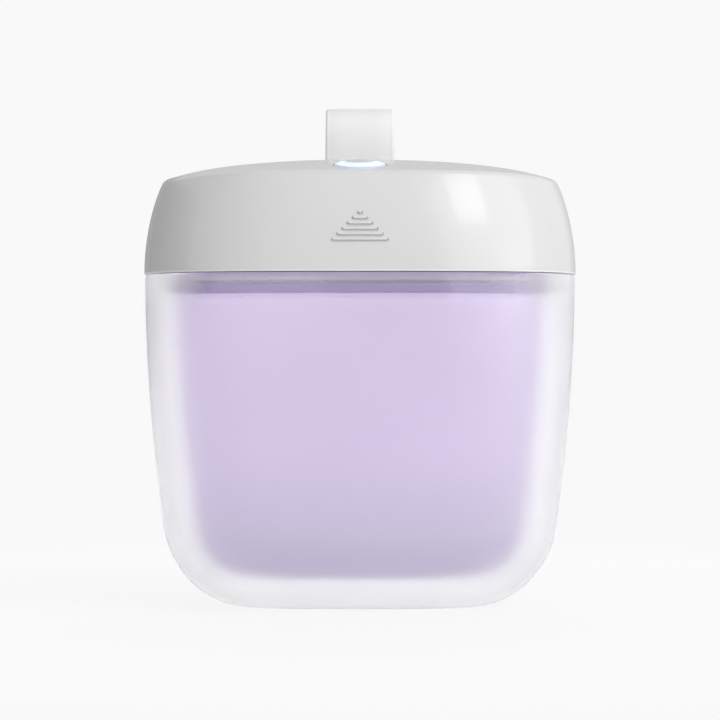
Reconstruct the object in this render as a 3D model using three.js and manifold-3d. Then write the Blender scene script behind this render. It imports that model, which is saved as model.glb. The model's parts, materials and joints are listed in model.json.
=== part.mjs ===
// Case that sterilizes pacifiers with ultraviolet light: a milky double-walled cup, a domed lid on a
// rear hinge that holds the lamp, board and battery, a lit power button and a hanging strap.
// Millimetres, X to the right, Y to the back, Z up. The origin is the centre of the face it stands on.

import * as THREE from 'three';
import { mergeVertices } from 'three/addons/utils/BufferGeometryUtils.js';
import Module from 'manifold-3d';

const wasm = await Module();
wasm.setup();

// Driving dimensions of the whole case
const caseHalfWidth = 48;
const caseHalfDepth = 44;
const depthLess = caseHalfWidth - caseHalfDepth;
const cornerPower = 3;
const splitHeight = 72.9;
const splitGap = 0.4;
const lidHeight = 21.3;
const domeRise = 4.4;
const fit = 0.3;
const overrun = 6;
const outlineSteps = 44;
const roundSteps = 20;
const smallRoundSteps = 10;
const screwSteps = 8;

// Milky outer shell of the base
const shell = {
  setIn: 0.2, wall: 2, floor: 2.2, taper: 6.85, cornerReach: 14.2, cornerHeight: 17.2,
  rimWidth: 3.6, rimHeight: 1.8, rimRamp: 1.6, edge: 0.5,
};
const shellTaperPower = 1.9;
const shellHalfWidth = caseHalfWidth - shell.setIn;

// Inner cup, the chamber that holds the pacifiers
const cup = { inset: 6.2, wall: 1.6, standHeight: 7.6 };
const cupHalfWidth = shellHalfWidth - cup.inset;
const cupMouth = cupHalfWidth - cup.wall;

// Neck ring, which hangs the cup in the shell and stands up into the lid
const neck = {
  skirtDrop: 4.5, skirtWall: 0.9, beadWall: 1.4, beadHeight: 1.8, grooveDepth: 0.5, grooveHeight: 0.5,
  flangeThick: 1.8, lidClearance: 0.5, riseHeight: 1.2, riseWall: 1.4, edge: 0.3,
};
const neckSeat = splitHeight + fit;
const flangeTop = neckSeat + neck.flangeThick;
const riseTop = flangeTop + neck.riseHeight;

// Lid shell
const lid = {
  wall: 2, lean: 4.15, creaseRadius: 1.4, edge: 0.5, postRadius: 2.1, pilotRadius: 1.1,
};
const leanPower = 2;
const domePower = 2.8;
const lidBottom = splitHeight + splitGap;
const creaseHeight = lidBottom + lidHeight;
const domeHalfWidth = caseHalfWidth - lid.lean;
const domeHalfDepth = domeHalfWidth - depthLess;
const flangeHalfWidth = caseHalfWidth - lid.wall - neck.lidClearance;

// Thumb grip on the front of the lid: bars that grow shorter upwards
const grip = { count: 6, pitch: 1.15, barHeight: 0.76, firstWidth: 13.4, shorter: 2.36, firstLift: 6.6 };
const gripRelief = { proud: 0.4, sunk: 0.8, bevel: 0.16 };

// Cover that closes the lid from below, with the gasket and the lamp window in it
const cover = { plate: 2, clearance: 0.35, rimLift: 0.4, rimWall: 4 };
const gasket = { thick: 1, wall: 1.3, edge: 0.3 };
const ceiling = riseTop + fit + gasket.thick + fit;
const coverTop = ceiling + cover.plate;
const coverRimBottom = flangeTop + cover.rimLift;
const pane = { width: 27, depth: 11, thick: 0.8, ledge: 1.5, seat: 0.8, corner: 1.5 };

// Lamp board above the window
const uvLed = { size: 3.5, thick: 1.2, lensRadius: 1.2, lensRise: 0.2, spacing: 7.5 };
const uvBoard = { width: 40, depth: 12, thick: 1, corner: 1, screwInset: 3 };
const uvScrewX = uvBoard.width / 2 - uvBoard.screwInset;
const paneSeat = ceiling + pane.seat + fit;
const uvLedBottom = paneSeat + pane.thick + fit;
const uvBoardBottom = uvLedBottom + uvLed.lensRise + uvLed.thick + fit;

// Main board, on four standoffs of the cover
const board = {
  lift: 4.9, thick: 1.2, sideGap: 14.5, frontGap: 5.5, backGap: 7.5, corner: 2,
  tongueHalfWidth: 9, tongueGap: 1.1, screwInX: 4, screwInY: 11,
  chip: 7, chipThick: 1, coil: 5, coilThick: 2.4,
};
const boardBottom = coverTop + board.lift;
const boardTop = boardBottom + board.thick;
const boardRoomX = lidSide(boardTop) - lid.wall;
const boardRoomY = boardRoomX - depthLess;
const boardHalfWidth = boardRoomX - board.sideGap;
const boardFront = boardRoomY - board.frontGap;
const boardBack = boardRoomY - board.backGap;
const boardScrewX = boardHalfWidth - board.screwInX;
const boardScrewY = boardBack - board.screwInY;
const standoff = { radius: 2.2, pilotRadius: 1.1 };

// Screws
const coverScrew = { headRadius: 1.4, headThick: 1.2, shankRadius: 0.8, length: 8 };
const boardScrew = { headRadius: 1.8, headThick: 1, shankRadius: 0.8, length: 4.2 };
const uvScrew = { headRadius: 1.5, headThick: 0.8, shankRadius: 0.8, length: 2.2 };
const headClearance = 0.3;

// Power button and light ring, near the front edge of the dome
const ring = {
  inset: 12.5, outerRadius: 5.6, innerRadius: 3.95, proud: 0.55, bevelInner: 4.3, edge: 0.1,
  collarRadius: 6.8, collarThick: 1, bossRadius: 7.2, bossDrop: 3.2, ledgeRadius: 2.3, ledgeThick: 0.7,
};
const ringY = ring.inset - caseHalfDepth;
const button = { radius: 3.6, stemRadius: 2, proud: 0.5, crown: 0.55, travel: 0.5, stopGap: 0.2 };
const tact = { size: 4.5, thick: 3.4, plungerRadius: 1.1, plungerRise: 1.1, stemGap: 0.1 };
const indicator = { length: 1.6, width: 1.2, thick: 1.2 };
const tactTop = boardTop + fit + tact.thick + tact.plungerRise;
const stemBottom = tactTop + tact.stemGap + button.travel;

// Charging socket under the board's rear tongue
const port = {
  width: 9, height: 3.2, depth: 7.4, wall: 0.35, tongueWidth: 6.4, tongueThick: 0.7, backWall: 1,
};
const portRecess = { width: 12.6, height: 6.2, depth: 0.9 };

// Battery, lid sensor and magnets
const battery = { width: 30, depth: 25, thick: 5, corner: 2, bevel: 0.6, y: 4, tabWidth: 8, tabDepth: 2 };
const sensor = { radius: 1.9, height: 3.2, inset: 10, flat: 0.6 };
const sensorY = sensor.inset - caseHalfDepth;
const magnet = { length: 6, width: 1.8, baseThick: 1, lidThick: 2, offset: 14 };
const magnetSink = 0.1;

// Hinge on the back
const hinge = {
  barrelRadius: 2.6, wallGap: 0.4, pinRadius: 1, lidHalfWidth: 10.2, lugWidth: 6.6, ramp: 3.6, bite: 1.3,
};
const hingeY = caseHalfDepth + hinge.wallGap + hinge.barrelRadius;
const hingeZ = splitHeight + splitGap / 2;
const lugStart = hinge.lidHalfWidth + fit;
const lugEnd = lugStart + hinge.lugWidth;
const pinHoleRadius = hinge.pinRadius + fit;

// Strap, its bar and the notch that holds them
const strap = { width: 16.2, thick: 1.2, rise: 21.5, bellyHalf: 5.6, bellyShift: 6.2, legPull: 5 };
const strapBar = { radius: 1.2, inset: 6.6, drop: 2.8, bite: 1.4 };
const barY = caseHalfDepth - strapBar.inset;
const barZ = creaseHeight - strapBar.drop;
const notch = { side: 0.8, front: 4.6, drop: 3.6, wall: 1.5, cheek: 2.5, corner: 1.6 };
const notchHalfWidth = strap.width / 2 + notch.side;
const ribbonSteps = { root: 10, leg: 6, crown: 12 };

// Finish of each kind of surface
const looks = {
  lidWhite: { color: 0xe6e6e9, roughness: 0.22 },
  milky: { color: 0xf2f1f6, roughness: 0.3, opacity: 0.5, transparent: true },
  lilac: { color: 0xd6c8ea, roughness: 0.35, opacity: 0.8, transparent: true },
  neckLilac: { color: 0xb4aac8, roughness: 0.5 },
  steel: { color: 0xb8babd, roughness: 0.3, metalness: 1 },
  strapGrey: { color: 0xe2e2e2, roughness: 0.6 },
  buttonGrey: { color: 0xd2d2d4, roughness: 0.4 },
  ringGlow: { color: 0xe0fdff, roughness: 0.3, emissive: 0xd8fdff },
  silicone: { color: 0xe9e9ea, roughness: 0.7 },
  quartz: { color: 0xdfe6f5, roughness: 0.05, opacity: 0.4, transparent: true },
  ceramic: { color: 0xefe8d2, roughness: 0.5 },
  aluminiumBoard: { color: 0xeceef0, roughness: 0.5 },
  boardGreen: { color: 0x1f6a45, roughness: 0.5 },
  black: { color: 0x222326, roughness: 0.5 },
  cell: { color: 0xa9aeb4, roughness: 0.4, metalness: 0.6 },
  magnet: { color: 0x9fa3a6, roughness: 0.3, metalness: 1 },
};

const sides = [-1, 1];
const quarters = [0, 1, 2, 3];
const model = new THREE.Group();

function place(name, shape, lookName) {
  const mesh = new THREE.Mesh(geometryOf(shape), new THREE.MeshStandardMaterial(looks[lookName]));
  mesh.name = name;
  model.add(mesh);
  return mesh;
}

// Solids from geometries and back

function solid(geometry) {
  const bare = geometry.index ? geometry.toNonIndexed() : geometry.clone();
  for (const name of Object.keys(bare.attributes)) {
    if (name !== 'position') bare.deleteAttribute(name);
  }
  const merged = mergeVertices(bare);
  const corners = merged.attributes.position;
  const triangles = [];
  for (let i = 0; i < merged.index.count; i += 3) {
    const [a, b, c] = [0, 1, 2].map((k) => merged.index.getX(i + k));
    if (a !== b && b !== c && c !== a) triangles.push([a, b, c]);
  }
  if (signedVolume(corners, triangles) < 0) triangles.forEach((triangle) => triangle.reverse());
  return new wasm.Manifold(new wasm.Mesh({
    numProp: 3,
    vertProperties: Float32Array.from(corners.array),
    triVerts: Uint32Array.from(triangles.flat()),
  }));
}

function signedVolume(corners, triangles) {
  const [a, b, c] = [new THREE.Vector3(), new THREE.Vector3(), new THREE.Vector3()];
  let volume = 0;
  for (const [i, j, k] of triangles) {
    a.fromBufferAttribute(corners, i);
    b.fromBufferAttribute(corners, j);
    c.fromBufferAttribute(corners, k);
    volume += a.dot(b.cross(c));
  }
  return volume;
}

function geometryOf(shape) {
  const mesh = shape.getMesh();
  const geometry = new THREE.BufferGeometry();
  geometry.setAttribute('position', new THREE.Float32BufferAttribute(mesh.vertProperties, 3));
  geometry.setIndex(Array.from(mesh.triVerts));
  geometry.computeVertexNormals();
  return geometry;
}

const unite = (shapes) => shapes.reduce((sum, next) => sum.add(next));
const cut = (shape, tools) => tools.reduce((rest, tool) => rest.subtract(tool), shape);

function box([x0, x1], [y0, y1], [z0, z1]) {
  const geometry = new THREE.BoxGeometry(x1 - x0, y1 - y0, z1 - z0);
  geometry.translate((x0 + x1) / 2, (y0 + y1) / 2, (z0 + z1) / 2);
  return solid(geometry);
}

function uprightCylinder(x, y, z0, z1, radius, steps = roundSteps) {
  const geometry = new THREE.CylinderGeometry(radius, radius, z1 - z0, steps);
  geometry.rotateX(Math.PI / 2);
  geometry.translate(x, y, (z0 + z1) / 2);
  return solid(geometry);
}

function crossCylinder(x0, x1, y, z, radius, steps = roundSteps) {
  const geometry = new THREE.CylinderGeometry(radius, radius, x1 - x0, steps);
  geometry.rotateZ(Math.PI / 2);
  geometry.translate((x0 + x1) / 2, y, z);
  return solid(geometry);
}

// A profile of [radius, height] points turned about a vertical axis
function turned(profile, x, y, steps = roundSteps) {
  const geometry = new THREE.LatheGeometry(profile.map(([r, z]) => new THREE.Vector2(r, z)), steps);
  geometry.rotateX(Math.PI / 2);
  geometry.translate(x, y, 0);
  return solid(geometry);
}

// A rectangle with round corners, centred on x and y
function roundedRectangle(halfX, halfY, corner) {
  const shape = new THREE.Shape();
  shape.moveTo(corner - halfX, -halfY);
  shape.absarc(halfX - corner, corner - halfY, corner, -Math.PI / 2, 0);
  shape.absarc(halfX - corner, halfY - corner, corner, 0, Math.PI / 2);
  shape.absarc(corner - halfX, halfY - corner, corner, Math.PI / 2, Math.PI);
  shape.absarc(corner - halfX, corner - halfY, corner, Math.PI, (3 * Math.PI) / 2);
  return shape;
}

// A rounded plate that lies flat between two heights
function plate(halfX, halfY, corner, x, y, z0, z1, curveSegments = 3) {
  const shape = roundedRectangle(halfX, halfY, corner);
  const geometry = new THREE.ExtrudeGeometry(shape, { depth: z1 - z0, bevelEnabled: false, curveSegments });
  geometry.translate(x, y, z0);
  return solid(geometry);
}

// A rounded plate that faces the back, between two depths
function facingPlate(halfX, halfZ, corner, z, y0, y1, curveSegments = 3) {
  const shape = roundedRectangle(halfX, halfZ, corner);
  const geometry = new THREE.ExtrudeGeometry(shape, { depth: y1 - y0, bevelEnabled: false, curveSegments });
  geometry.rotateX(Math.PI / 2);
  geometry.translate(0, y1, z);
  return solid(geometry);
}

// An outline of [y, z] points drawn out along X
function crosswise(points, x0, x1) {
  const shape = new THREE.Shape(points.map(([y, z]) => new THREE.Vector2(y, z)));
  const geometry = new THREE.ExtrudeGeometry(shape, { depth: x1 - x0, bevelEnabled: false });
  geometry.rotateY(Math.PI / 2);
  geometry.rotateX(Math.PI / 2);
  geometry.translate(x0, 0, 0);
  return solid(geometry);
}

// Lofts through rounded-square rings

function outlineRadius(angle, halfWidth, halfDepth) {
  const across = (Math.abs(Math.cos(angle)) / halfWidth) ** cornerPower;
  const along = (Math.abs(Math.sin(angle)) / halfDepth) ** cornerPower;
  return (across + along) ** (-1 / cornerPower);
}

const ringAt = (halfWidth, z) => ({ halfWidth, halfDepth: halfWidth - depthLess, z });

function ringCorners({ halfWidth, halfDepth, z }) {
  return Array.from({ length: outlineSteps }, (_, i) => {
    const angle = (2 * Math.PI * i) / outlineSteps;
    const radius = outlineRadius(angle, halfWidth, halfDepth);
    return [radius * Math.cos(angle), radius * Math.sin(angle), z];
  });
}

function joinRings(indices, from, to) {
  for (let i = 0; i < outlineSteps; i += 1) {
    const next = (i + 1) % outlineSteps;
    indices.push(from + i, from + next, to + next, from + i, to + next, to + i);
  }
}

function loftGeometry(positions, indices) {
  const geometry = new THREE.BufferGeometry();
  geometry.setAttribute('position', new THREE.Float32BufferAttribute(positions.flat(), 3));
  geometry.setIndex(indices);
  return geometry;
}

// A solid through the rings, closed by a flat or pointed cap at either end
function loft(rings, lastHeight = rings[rings.length - 1].z) {
  const positions = rings.flatMap(ringCorners);
  const indices = [];
  rings.slice(1).forEach((_, k) => joinRings(indices, k * outlineSteps, (k + 1) * outlineSteps));
  const first = positions.push([0, 0, rings[0].z]) - 1;
  const last = positions.push([0, 0, lastHeight]) - 1;
  const lastStart = (rings.length - 1) * outlineSteps;
  for (let i = 0; i < outlineSteps; i += 1) {
    const next = (i + 1) % outlineSteps;
    indices.push(first, next, i, last, lastStart + i, lastStart + next);
  }
  return solid(loftGeometry(positions, indices));
}

// A frame whose section is the closed line through the rings
function loopLoft(rings) {
  const indices = [];
  rings.forEach((_, k) => joinRings(indices, k * outlineSteps, ((k + 1) % rings.length) * outlineSteps));
  return solid(loftGeometry(rings.flatMap(ringCorners), indices));
}

// Rings along a bend from one ring to another, drawn towards a corner ring
function bend(from, corner, to, steps) {
  return Array.from({ length: steps + 1 }, (_, i) => {
    const share = i / steps;
    const weights = [(1 - share) ** 2, 2 * share * (1 - share), share ** 2];
    const mix = (key) => weights[0] * from[key] + weights[1] * corner[key] + weights[2] * to[key];
    return { halfWidth: mix('halfWidth'), halfDepth: mix('halfDepth'), z: mix('z') };
  });
}

// Even steps after one value, up to and with another
function spread(from, to, count) {
  return Array.from({ length: count }, (_, i) => from + ((to - from) * (i + 1)) / count);
}

// Side of the base at a height: it draws in slowly towards the floor
function shellSide(z) {
  return shellHalfWidth - shell.taper * ((splitHeight - z) / splitHeight) ** shellTaperPower;
}

// Rings of a cup that keeps inside the shell's outer face: a round bottom corner, then the side
function cupRings(inset, floorZ, topZ, cornerSteps, sideSteps) {
  const reach = shell.cornerReach - inset;
  const rise = shell.cornerHeight - floorZ;
  const corner = Array.from({ length: cornerSteps + 1 }, (_, i) => {
    const angle = (Math.PI / 2) * (i / cornerSteps);
    const z = shell.cornerHeight - rise * Math.cos(angle);
    return ringAt(shellSide(z) - inset - reach * (1 - Math.sin(angle)), z);
  });
  const side = spread(shell.cornerHeight, topZ, sideSteps).map((z) => ringAt(shellSide(z) - inset, z));
  return [...corner, ...side];
}

// Outer face of the lid's wall at a height, and the dome's height over a point
function lidSide(z) {
  return caseHalfWidth - lid.lean * ((z - lidBottom) / lidHeight) ** leanPower;
}

const domeHeightAtShare = (share) => creaseHeight + domeRise * (1 - share ** domePower);

function domeHeight(x, y) {
  const across = (Math.abs(x) / domeHalfWidth) ** cornerPower;
  const along = (Math.abs(y) / domeHalfDepth) ** cornerPower;
  return domeHeightAtShare((across + along) ** (1 / cornerPower));
}

function domeRing(share, sink) {
  const z = domeHeightAtShare(share) - sink;
  return { halfWidth: domeHalfWidth * share, halfDepth: domeHalfDepth * share, z };
}

function baseShell() {
  const edgeStart = ringAt(shellSide(splitHeight - shell.edge), splitHeight - shell.edge);
  const edgeEnd = ringAt(shellHalfWidth - shell.edge, splitHeight);
  const outer = loft([
    ...cupRings(0, 0, splitHeight - shell.edge, 7, 4).slice(0, -1),
    ...bend(edgeStart, ringAt(shellHalfWidth, splitHeight), edgeEnd, 1),
  ]);
  const rimInner = shellHalfWidth - shell.rimWidth;
  const rimUnder = splitHeight - shell.rimHeight;
  const hollow = loft([
    ...cupRings(shell.wall, shell.floor, rimUnder - shell.rimRamp, 5, 3),
    ringAt(rimInner, rimUnder),
    ringAt(rimInner, splitHeight + overrun),
  ]);
  const pinHole = pinShape(lugEnd + overrun, pinHoleRadius);
  return cut(unite([outer, ...sides.map(hingeLug)]), [hollow, pinHole]);
}

// A bar on the hinge axis, as far to either side
function pinShape(half, radius) {
  return crossCylinder(-half, half, hingeY, hingeZ, radius, smallRoundSteps);
}

// One of the two knuckles of the base, with a sloped web down to the wall
function hingeLug(side) {
  const [x0, x1] = side < 0 ? [-lugEnd, -lugStart] : [lugStart, lugEnd];
  const root = caseHalfDepth - hinge.bite;
  const under = hingeZ - hinge.barrelRadius;
  const web = crosswise(
    [[root, splitHeight], [hingeY, splitHeight], [hingeY, under], [root, under - hinge.ramp]], x0, x1,
  );
  return web.add(crossCylinder(x0, x1, hingeY, hingeZ, hinge.barrelRadius));
}

function innerCup() {
  const top = splitHeight;
  const outer = loft(cupRings(cup.inset, cup.standHeight, top, 4, 3));
  const hollow = loft([
    ...cupRings(cup.inset + cup.wall, cup.standHeight + cup.wall, top, 4, 3),
    ringAt(cupMouth, top + overrun),
  ]);
  return outer.subtract(hollow);
}

function neckRing() {
  const skirtInner = cupHalfWidth + fit;
  const skirtOuter = skirtInner + neck.skirtWall;
  const beadOuter = skirtInner + neck.beadWall;
  const skirtBottom = neckSeat - neck.skirtDrop;
  const beadBottom = neckSeat - neck.beadHeight;
  const riseOuter = cupMouth + neck.riseWall;
  const frame = loopLoft([
    ringAt(skirtInner, skirtBottom),
    ringAt(skirtOuter, skirtBottom),
    ringAt(skirtOuter, beadBottom - neck.grooveHeight),
    ringAt(beadOuter - neck.grooveDepth, beadBottom - neck.grooveHeight),
    ringAt(beadOuter - neck.grooveDepth, beadBottom),
    ringAt(beadOuter, beadBottom),
    ringAt(beadOuter, neckSeat),
    ringAt(flangeHalfWidth, neckSeat),
    ringAt(flangeHalfWidth, flangeTop - neck.edge),
    ringAt(flangeHalfWidth - neck.edge, flangeTop),
    ringAt(riseOuter, flangeTop),
    ringAt(riseOuter, riseTop - neck.edge),
    ringAt(riseOuter - neck.edge, riseTop),
    ringAt(cupMouth, riseTop),
    ringAt(cupMouth, neckSeat),
    ringAt(skirtInner, neckSeat),
  ]);
  const pocketFloor = flangeTop - magnetSink - magnet.baseThick - fit;
  const pockets = sides.map((side) => magnetBlock(side, pocketFloor, flangeTop + overrun, fit));
  return cut(frame, pockets);
}

// Middle of the band that the rims of lid and base share, where the cover screws sit
const rimMiddle = (cupMouth + neck.riseWall + flangeHalfWidth) / 2;

// How far to the front an outline lies at a place beside the middle
function outlineDepth(x, halfWidth) {
  return (halfWidth - depthLess) * (1 - (x / halfWidth) ** cornerPower) ** (1 / cornerPower);
}

const coverRimInner = flangeHalfWidth - cover.rimWall + fit;
const coverRimOuter = caseHalfWidth - lid.wall - cover.clearance;

// The magnets sit midway between the two faces of the cover's rim
function magnetBlock(side, z0, z1, clearance) {
  const x = side * magnet.offset;
  const inner = outlineDepth(magnet.offset - magnet.length / 2, coverRimInner);
  const outer = outlineDepth(magnet.offset + magnet.length / 2, coverRimOuter);
  const y = -(inner + outer) / 2;
  return box(
    [x - magnet.length / 2 - clearance, x + magnet.length / 2 + clearance],
    [y - magnet.width / 2 - clearance, y + magnet.width / 2 + clearance],
    [z0, z1],
  );
}

function baseMagnet(side) {
  const top = flangeTop - magnetSink;
  return magnetBlock(side, top - magnet.baseThick, top, 0);
}

function lidMagnet(side) {
  const bottom = coverRimBottom + magnetSink;
  return magnetBlock(side, bottom, bottom + magnet.lidThick, 0);
}

function screwSpot(quarter) {
  const angle = Math.PI / 4 + (quarter * Math.PI) / 2;
  const radius = outlineRadius(angle, rimMiddle, rimMiddle - depthLess);
  return [radius * Math.cos(angle), radius * Math.sin(angle)];
}

function lidShell() {
  const creaseStart = ringAt(lidSide(creaseHeight - lid.creaseRadius), creaseHeight - lid.creaseRadius);
  const creaseCorner = { halfWidth: domeHalfWidth, halfDepth: domeHalfDepth, z: creaseHeight };
  const domeShares = [0.88, 0.76, 0.6, 0.4];
  const outer = loft([
    ...bend(ringAt(caseHalfWidth - lid.edge, lidBottom), ringAt(caseHalfWidth, lidBottom),
      ringAt(lidSide(lidBottom + lid.edge), lidBottom + lid.edge), 1),
    ...spread(lidBottom + lid.edge, creaseStart.z, 5).slice(0, -1).map((z) => ringAt(lidSide(z), z)),
    ...bend(creaseStart, creaseCorner, domeRing(1 - lid.creaseRadius / domeHalfWidth, 0), 3),
    ...domeShares.map((share) => domeRing(share, 0)),
  ], domeHeightAtShare(0));
  const innerTop = creaseHeight - lid.wall - lid.creaseRadius;
  const innerShares = [0.9, 0.72, 0.45];
  const hollow = loft([
    ringAt(lidSide(lidBottom) - lid.wall, lidBottom - overrun),
    ...spread(lidBottom, innerTop, 3).map((z) => ringAt(lidSide(z) - lid.wall, z)),
    ...innerShares.map((share) => domeRing(share, lid.wall)),
  ], domeHeightAtShare(0) - lid.wall);
  const inside = [...quarters.map(lidPost), ringBoss(), notchBlock()];
  const features = unite(inside).intersect(outer);
  const body = unite([outer.subtract(hollow), features, lidKnuckle(), ...gripBars()]);
  return cut(body, [
    uprightCylinder(0, ringY, boardTop, creaseHeight + domeRise + overrun, ring.outerRadius + fit),
    notchHollow(),
    strapBarSolid(fit),
    pinShape(lugEnd, pinHoleRadius),
    ...portOpenings(),
    ...quarters.map(postPilot),
  ]);
}

function lidPost(quarter) {
  const [x, y] = screwSpot(quarter);
  return uprightCylinder(x, y, coverTop + fit, creaseHeight, lid.postRadius, smallRoundSteps);
}

const coverScrewStart = coverRimBottom + headClearance;
const coverShankEnd = coverScrewStart + coverScrew.headThick + coverScrew.length;

function postPilot(quarter) {
  const [x, y] = screwSpot(quarter);
  return uprightCylinder(x, y, coverTop, coverShankEnd + fit, lid.pilotRadius, smallRoundSteps);
}

const collarTop = creaseHeight - ring.bossDrop - fit;

function ringBoss() {
  return uprightCylinder(0, ringY, collarTop + fit, creaseHeight + domeRise, ring.bossRadius);
}

const notchFront = barY - notch.front;
const notchFloor = barZ - notch.drop;
const barHalf = notchHalfWidth + strapBar.bite - fit;

function notchBlock() {
  const halfX = notchHalfWidth + notch.cheek;
  const y0 = notchFront - notch.wall;
  const y1 = caseHalfDepth + overrun;
  return plate(halfX, (y1 - y0) / 2, notch.corner, 0, (y0 + y1) / 2,
    notchFloor - notch.wall, creaseHeight + domeRise);
}

function strapBarSolid(clearance) {
  const half = barHalf + clearance;
  return crossCylinder(-half, half, barY, barZ, strapBar.radius + clearance, smallRoundSteps);
}

function notchHollow() {
  const y1 = caseHalfDepth + overrun;
  return plate(notchHalfWidth, (y1 - notchFront) / 2, notch.corner, 0, (notchFront + y1) / 2,
    notchFloor, creaseHeight + domeRise + overrun);
}

function lidKnuckle() {
  const half = hinge.lidHalfWidth;
  const root = caseHalfDepth - hinge.bite;
  const over = hingeZ + hinge.barrelRadius;
  const web = crosswise(
    [[root, lidBottom], [root, over + hinge.ramp], [hingeY, over], [hingeY, lidBottom]], -half, half,
  );
  return web.add(crossCylinder(-half, half, hingeY, hingeZ, hinge.barrelRadius));
}

// Bars of the thumb grip, each tilted with the wall behind it
function gripBars() {
  return Array.from({ length: grip.count }, (_, i) => {
    const halfWidth = (grip.firstWidth - grip.shorter * i) / 2 - gripRelief.bevel;
    const halfHeight = grip.barHeight / 2 - gripRelief.bevel;
    const z = lidBottom + grip.firstLift + grip.pitch * i;
    const geometry = new THREE.ExtrudeGeometry(roundedRectangle(halfWidth, halfHeight, halfHeight), {
      depth: gripRelief.sunk + gripRelief.proud - gripRelief.bevel, curveSegments: 2,
      bevelSize: gripRelief.bevel, bevelThickness: gripRelief.bevel, bevelSegments: 1,
    });
    geometry.translate(0, 0, -gripRelief.sunk);
    geometry.rotateX(Math.PI / 2);
    const rise = (lidSide(z - grip.pitch) - lidSide(z + grip.pitch)) / (2 * grip.pitch);
    geometry.rotateX(-Math.atan(rise));
    geometry.translate(0, depthLess - lidSide(z), z);
    return solid(geometry);
  });
}

const portZ = boardBottom - fit - port.height / 2;
const portMouth = lidSide(portZ) - depthLess - portRecess.depth;

function portOval(extra, y0, y1) {
  const halfHeight = port.height / 2 + extra;
  return facingPlate(port.width / 2 + extra, halfHeight, halfHeight, portZ, y0, y1);
}

function portOpenings() {
  const slot = portOval(fit, boardBack, caseHalfDepth + overrun);
  const recess = facingPlate(portRecess.width / 2, portRecess.height / 2, portRecess.height / 2, portZ,
    portMouth, caseHalfDepth + overrun);
  return [slot, recess];
}

function lidCover() {
  const outerAt = (z) => ringAt(lidSide(z) - lid.wall - cover.clearance, z);
  const slab = loft([outerAt(coverRimBottom), outerAt(coverTop)]);
  const under = loft([ringAt(coverRimInner, coverRimBottom - overrun), ringAt(coverRimInner, ceiling)]);
  const standoffs = boardScrewSpots.map(([x, y]) => uprightCylinder(x, y, ceiling + fit, boardBottom - fit,
    standoff.radius, smallRoundSteps));
  const uvPosts = sides.map((side) => uprightCylinder(side * uvScrewX, 0, ceiling + fit,
    uvBoardBottom - fit, standoff.radius, smallRoundSteps));
  const headRoom = coverScrew.headRadius + headClearance;
  return cut(unite([slab.subtract(under), ...standoffs, ...uvPosts]), [
    panePlate(-pane.ledge, ceiling - overrun, coverTop),
    panePlate(fit, ceiling + pane.seat, coverTop + fit),
    ...boardScrewSpots.map(([x, y]) => uprightCylinder(x, y, ceiling + cover.plate / 2, boardBottom,
      standoff.pilotRadius, smallRoundSteps)),
    ...sides.map((side) => uprightCylinder(side * uvScrewX, 0, ceiling + cover.plate / 2,
      uvBoardBottom, standoff.pilotRadius, smallRoundSteps)),
    ...quarters.map((quarter) => uprightCylinder(...screwSpot(quarter), coverRimBottom - overrun,
      coverScrewStart + coverScrew.headThick + headClearance, headRoom, smallRoundSteps)),
    ...quarters.map((quarter) => uprightCylinder(...screwSpot(quarter), coverRimBottom, coverTop + overrun,
      coverScrew.shankRadius + headClearance, smallRoundSteps)),
    ...sides.map((side) => magnetBlock(side, coverRimBottom - overrun,
      coverRimBottom + magnetSink + magnet.lidThick + fit, fit)),
  ]);
}

function panePlate(extra, z0, z1) {
  return plate(pane.width / 2 + extra, pane.depth / 2 + extra, pane.corner, 0, 0, z0, z1);
}

const boardScrewSpots = quarters.map((quarter) => [
  (quarter % 2 ? 1 : -1) * boardScrewX,
  (quarter < 2 ? -1 : 1) * boardScrewY,
]);

function lidGasket() {
  const inner = cupMouth + fit / 2;
  const outer = inner + gasket.wall;
  const z0 = riseTop + fit;
  const z1 = z0 + gasket.thick;
  return loopLoft([
    ringAt(inner + gasket.edge, z0),
    ringAt(outer - gasket.edge, z0),
    ringAt(outer, z0 + gasket.edge),
    ringAt(outer, z1),
    ringAt(inner, z1),
    ringAt(inner, z0 + gasket.edge),
  ]);
}

// Screw with a low domed head; turn is 1 with the head on top and -1 with the head below
function screw({ headRadius, headThick, shankRadius, length }, x, y, underHead, turn) {
  const profile = [
    [0, -length], [shankRadius / 2, -length], [shankRadius, shankRadius / 2 - length], [shankRadius, 0],
    [headRadius, 0], [headRadius, headThick / 2], [headRadius / 2, headThick], [0, headThick],
  ];
  return turned(profile.map(([r, z]) => [r, underHead + turn * z]), x, y, screwSteps);
}

const screwIntoPost = (quarter) => screw(
  coverScrew, ...screwSpot(quarter), coverScrewStart + coverScrew.headThick, -1,
);

const screwIntoStandoff = (quarter) => screw(boardScrew, ...boardScrewSpots[quarter], boardTop + fit, 1);

function uvBoardScrew(side) {
  return screw(uvScrew, side * uvScrewX, 0, uvBoardBottom + uvBoard.thick + fit, 1);
}

function uvLedSolid(x) {
  const half = uvLed.size / 2;
  const bottom = uvLedBottom + uvLed.lensRise;
  const lensTop = bottom + uvLed.lensRise;
  const lens = uprightCylinder(x, 0, uvLedBottom, lensTop, uvLed.lensRadius, smallRoundSteps);
  return box([x - half, x + half], [-half, half], [bottom, bottom + uvLed.thick]).add(lens);
}

function uvBoardSolid() {
  const { width, depth, thick, corner } = uvBoard;
  const slab = plate(width / 2, depth / 2, corner, 0, 0, uvBoardBottom, uvBoardBottom + thick);
  return cut(slab, sides.map((side) => uprightCylinder(side * uvScrewX, 0, uvBoardBottom - overrun,
    uvBoardBottom + overrun, uvScrew.shankRadius + fit, smallRoundSteps)));
}

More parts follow.
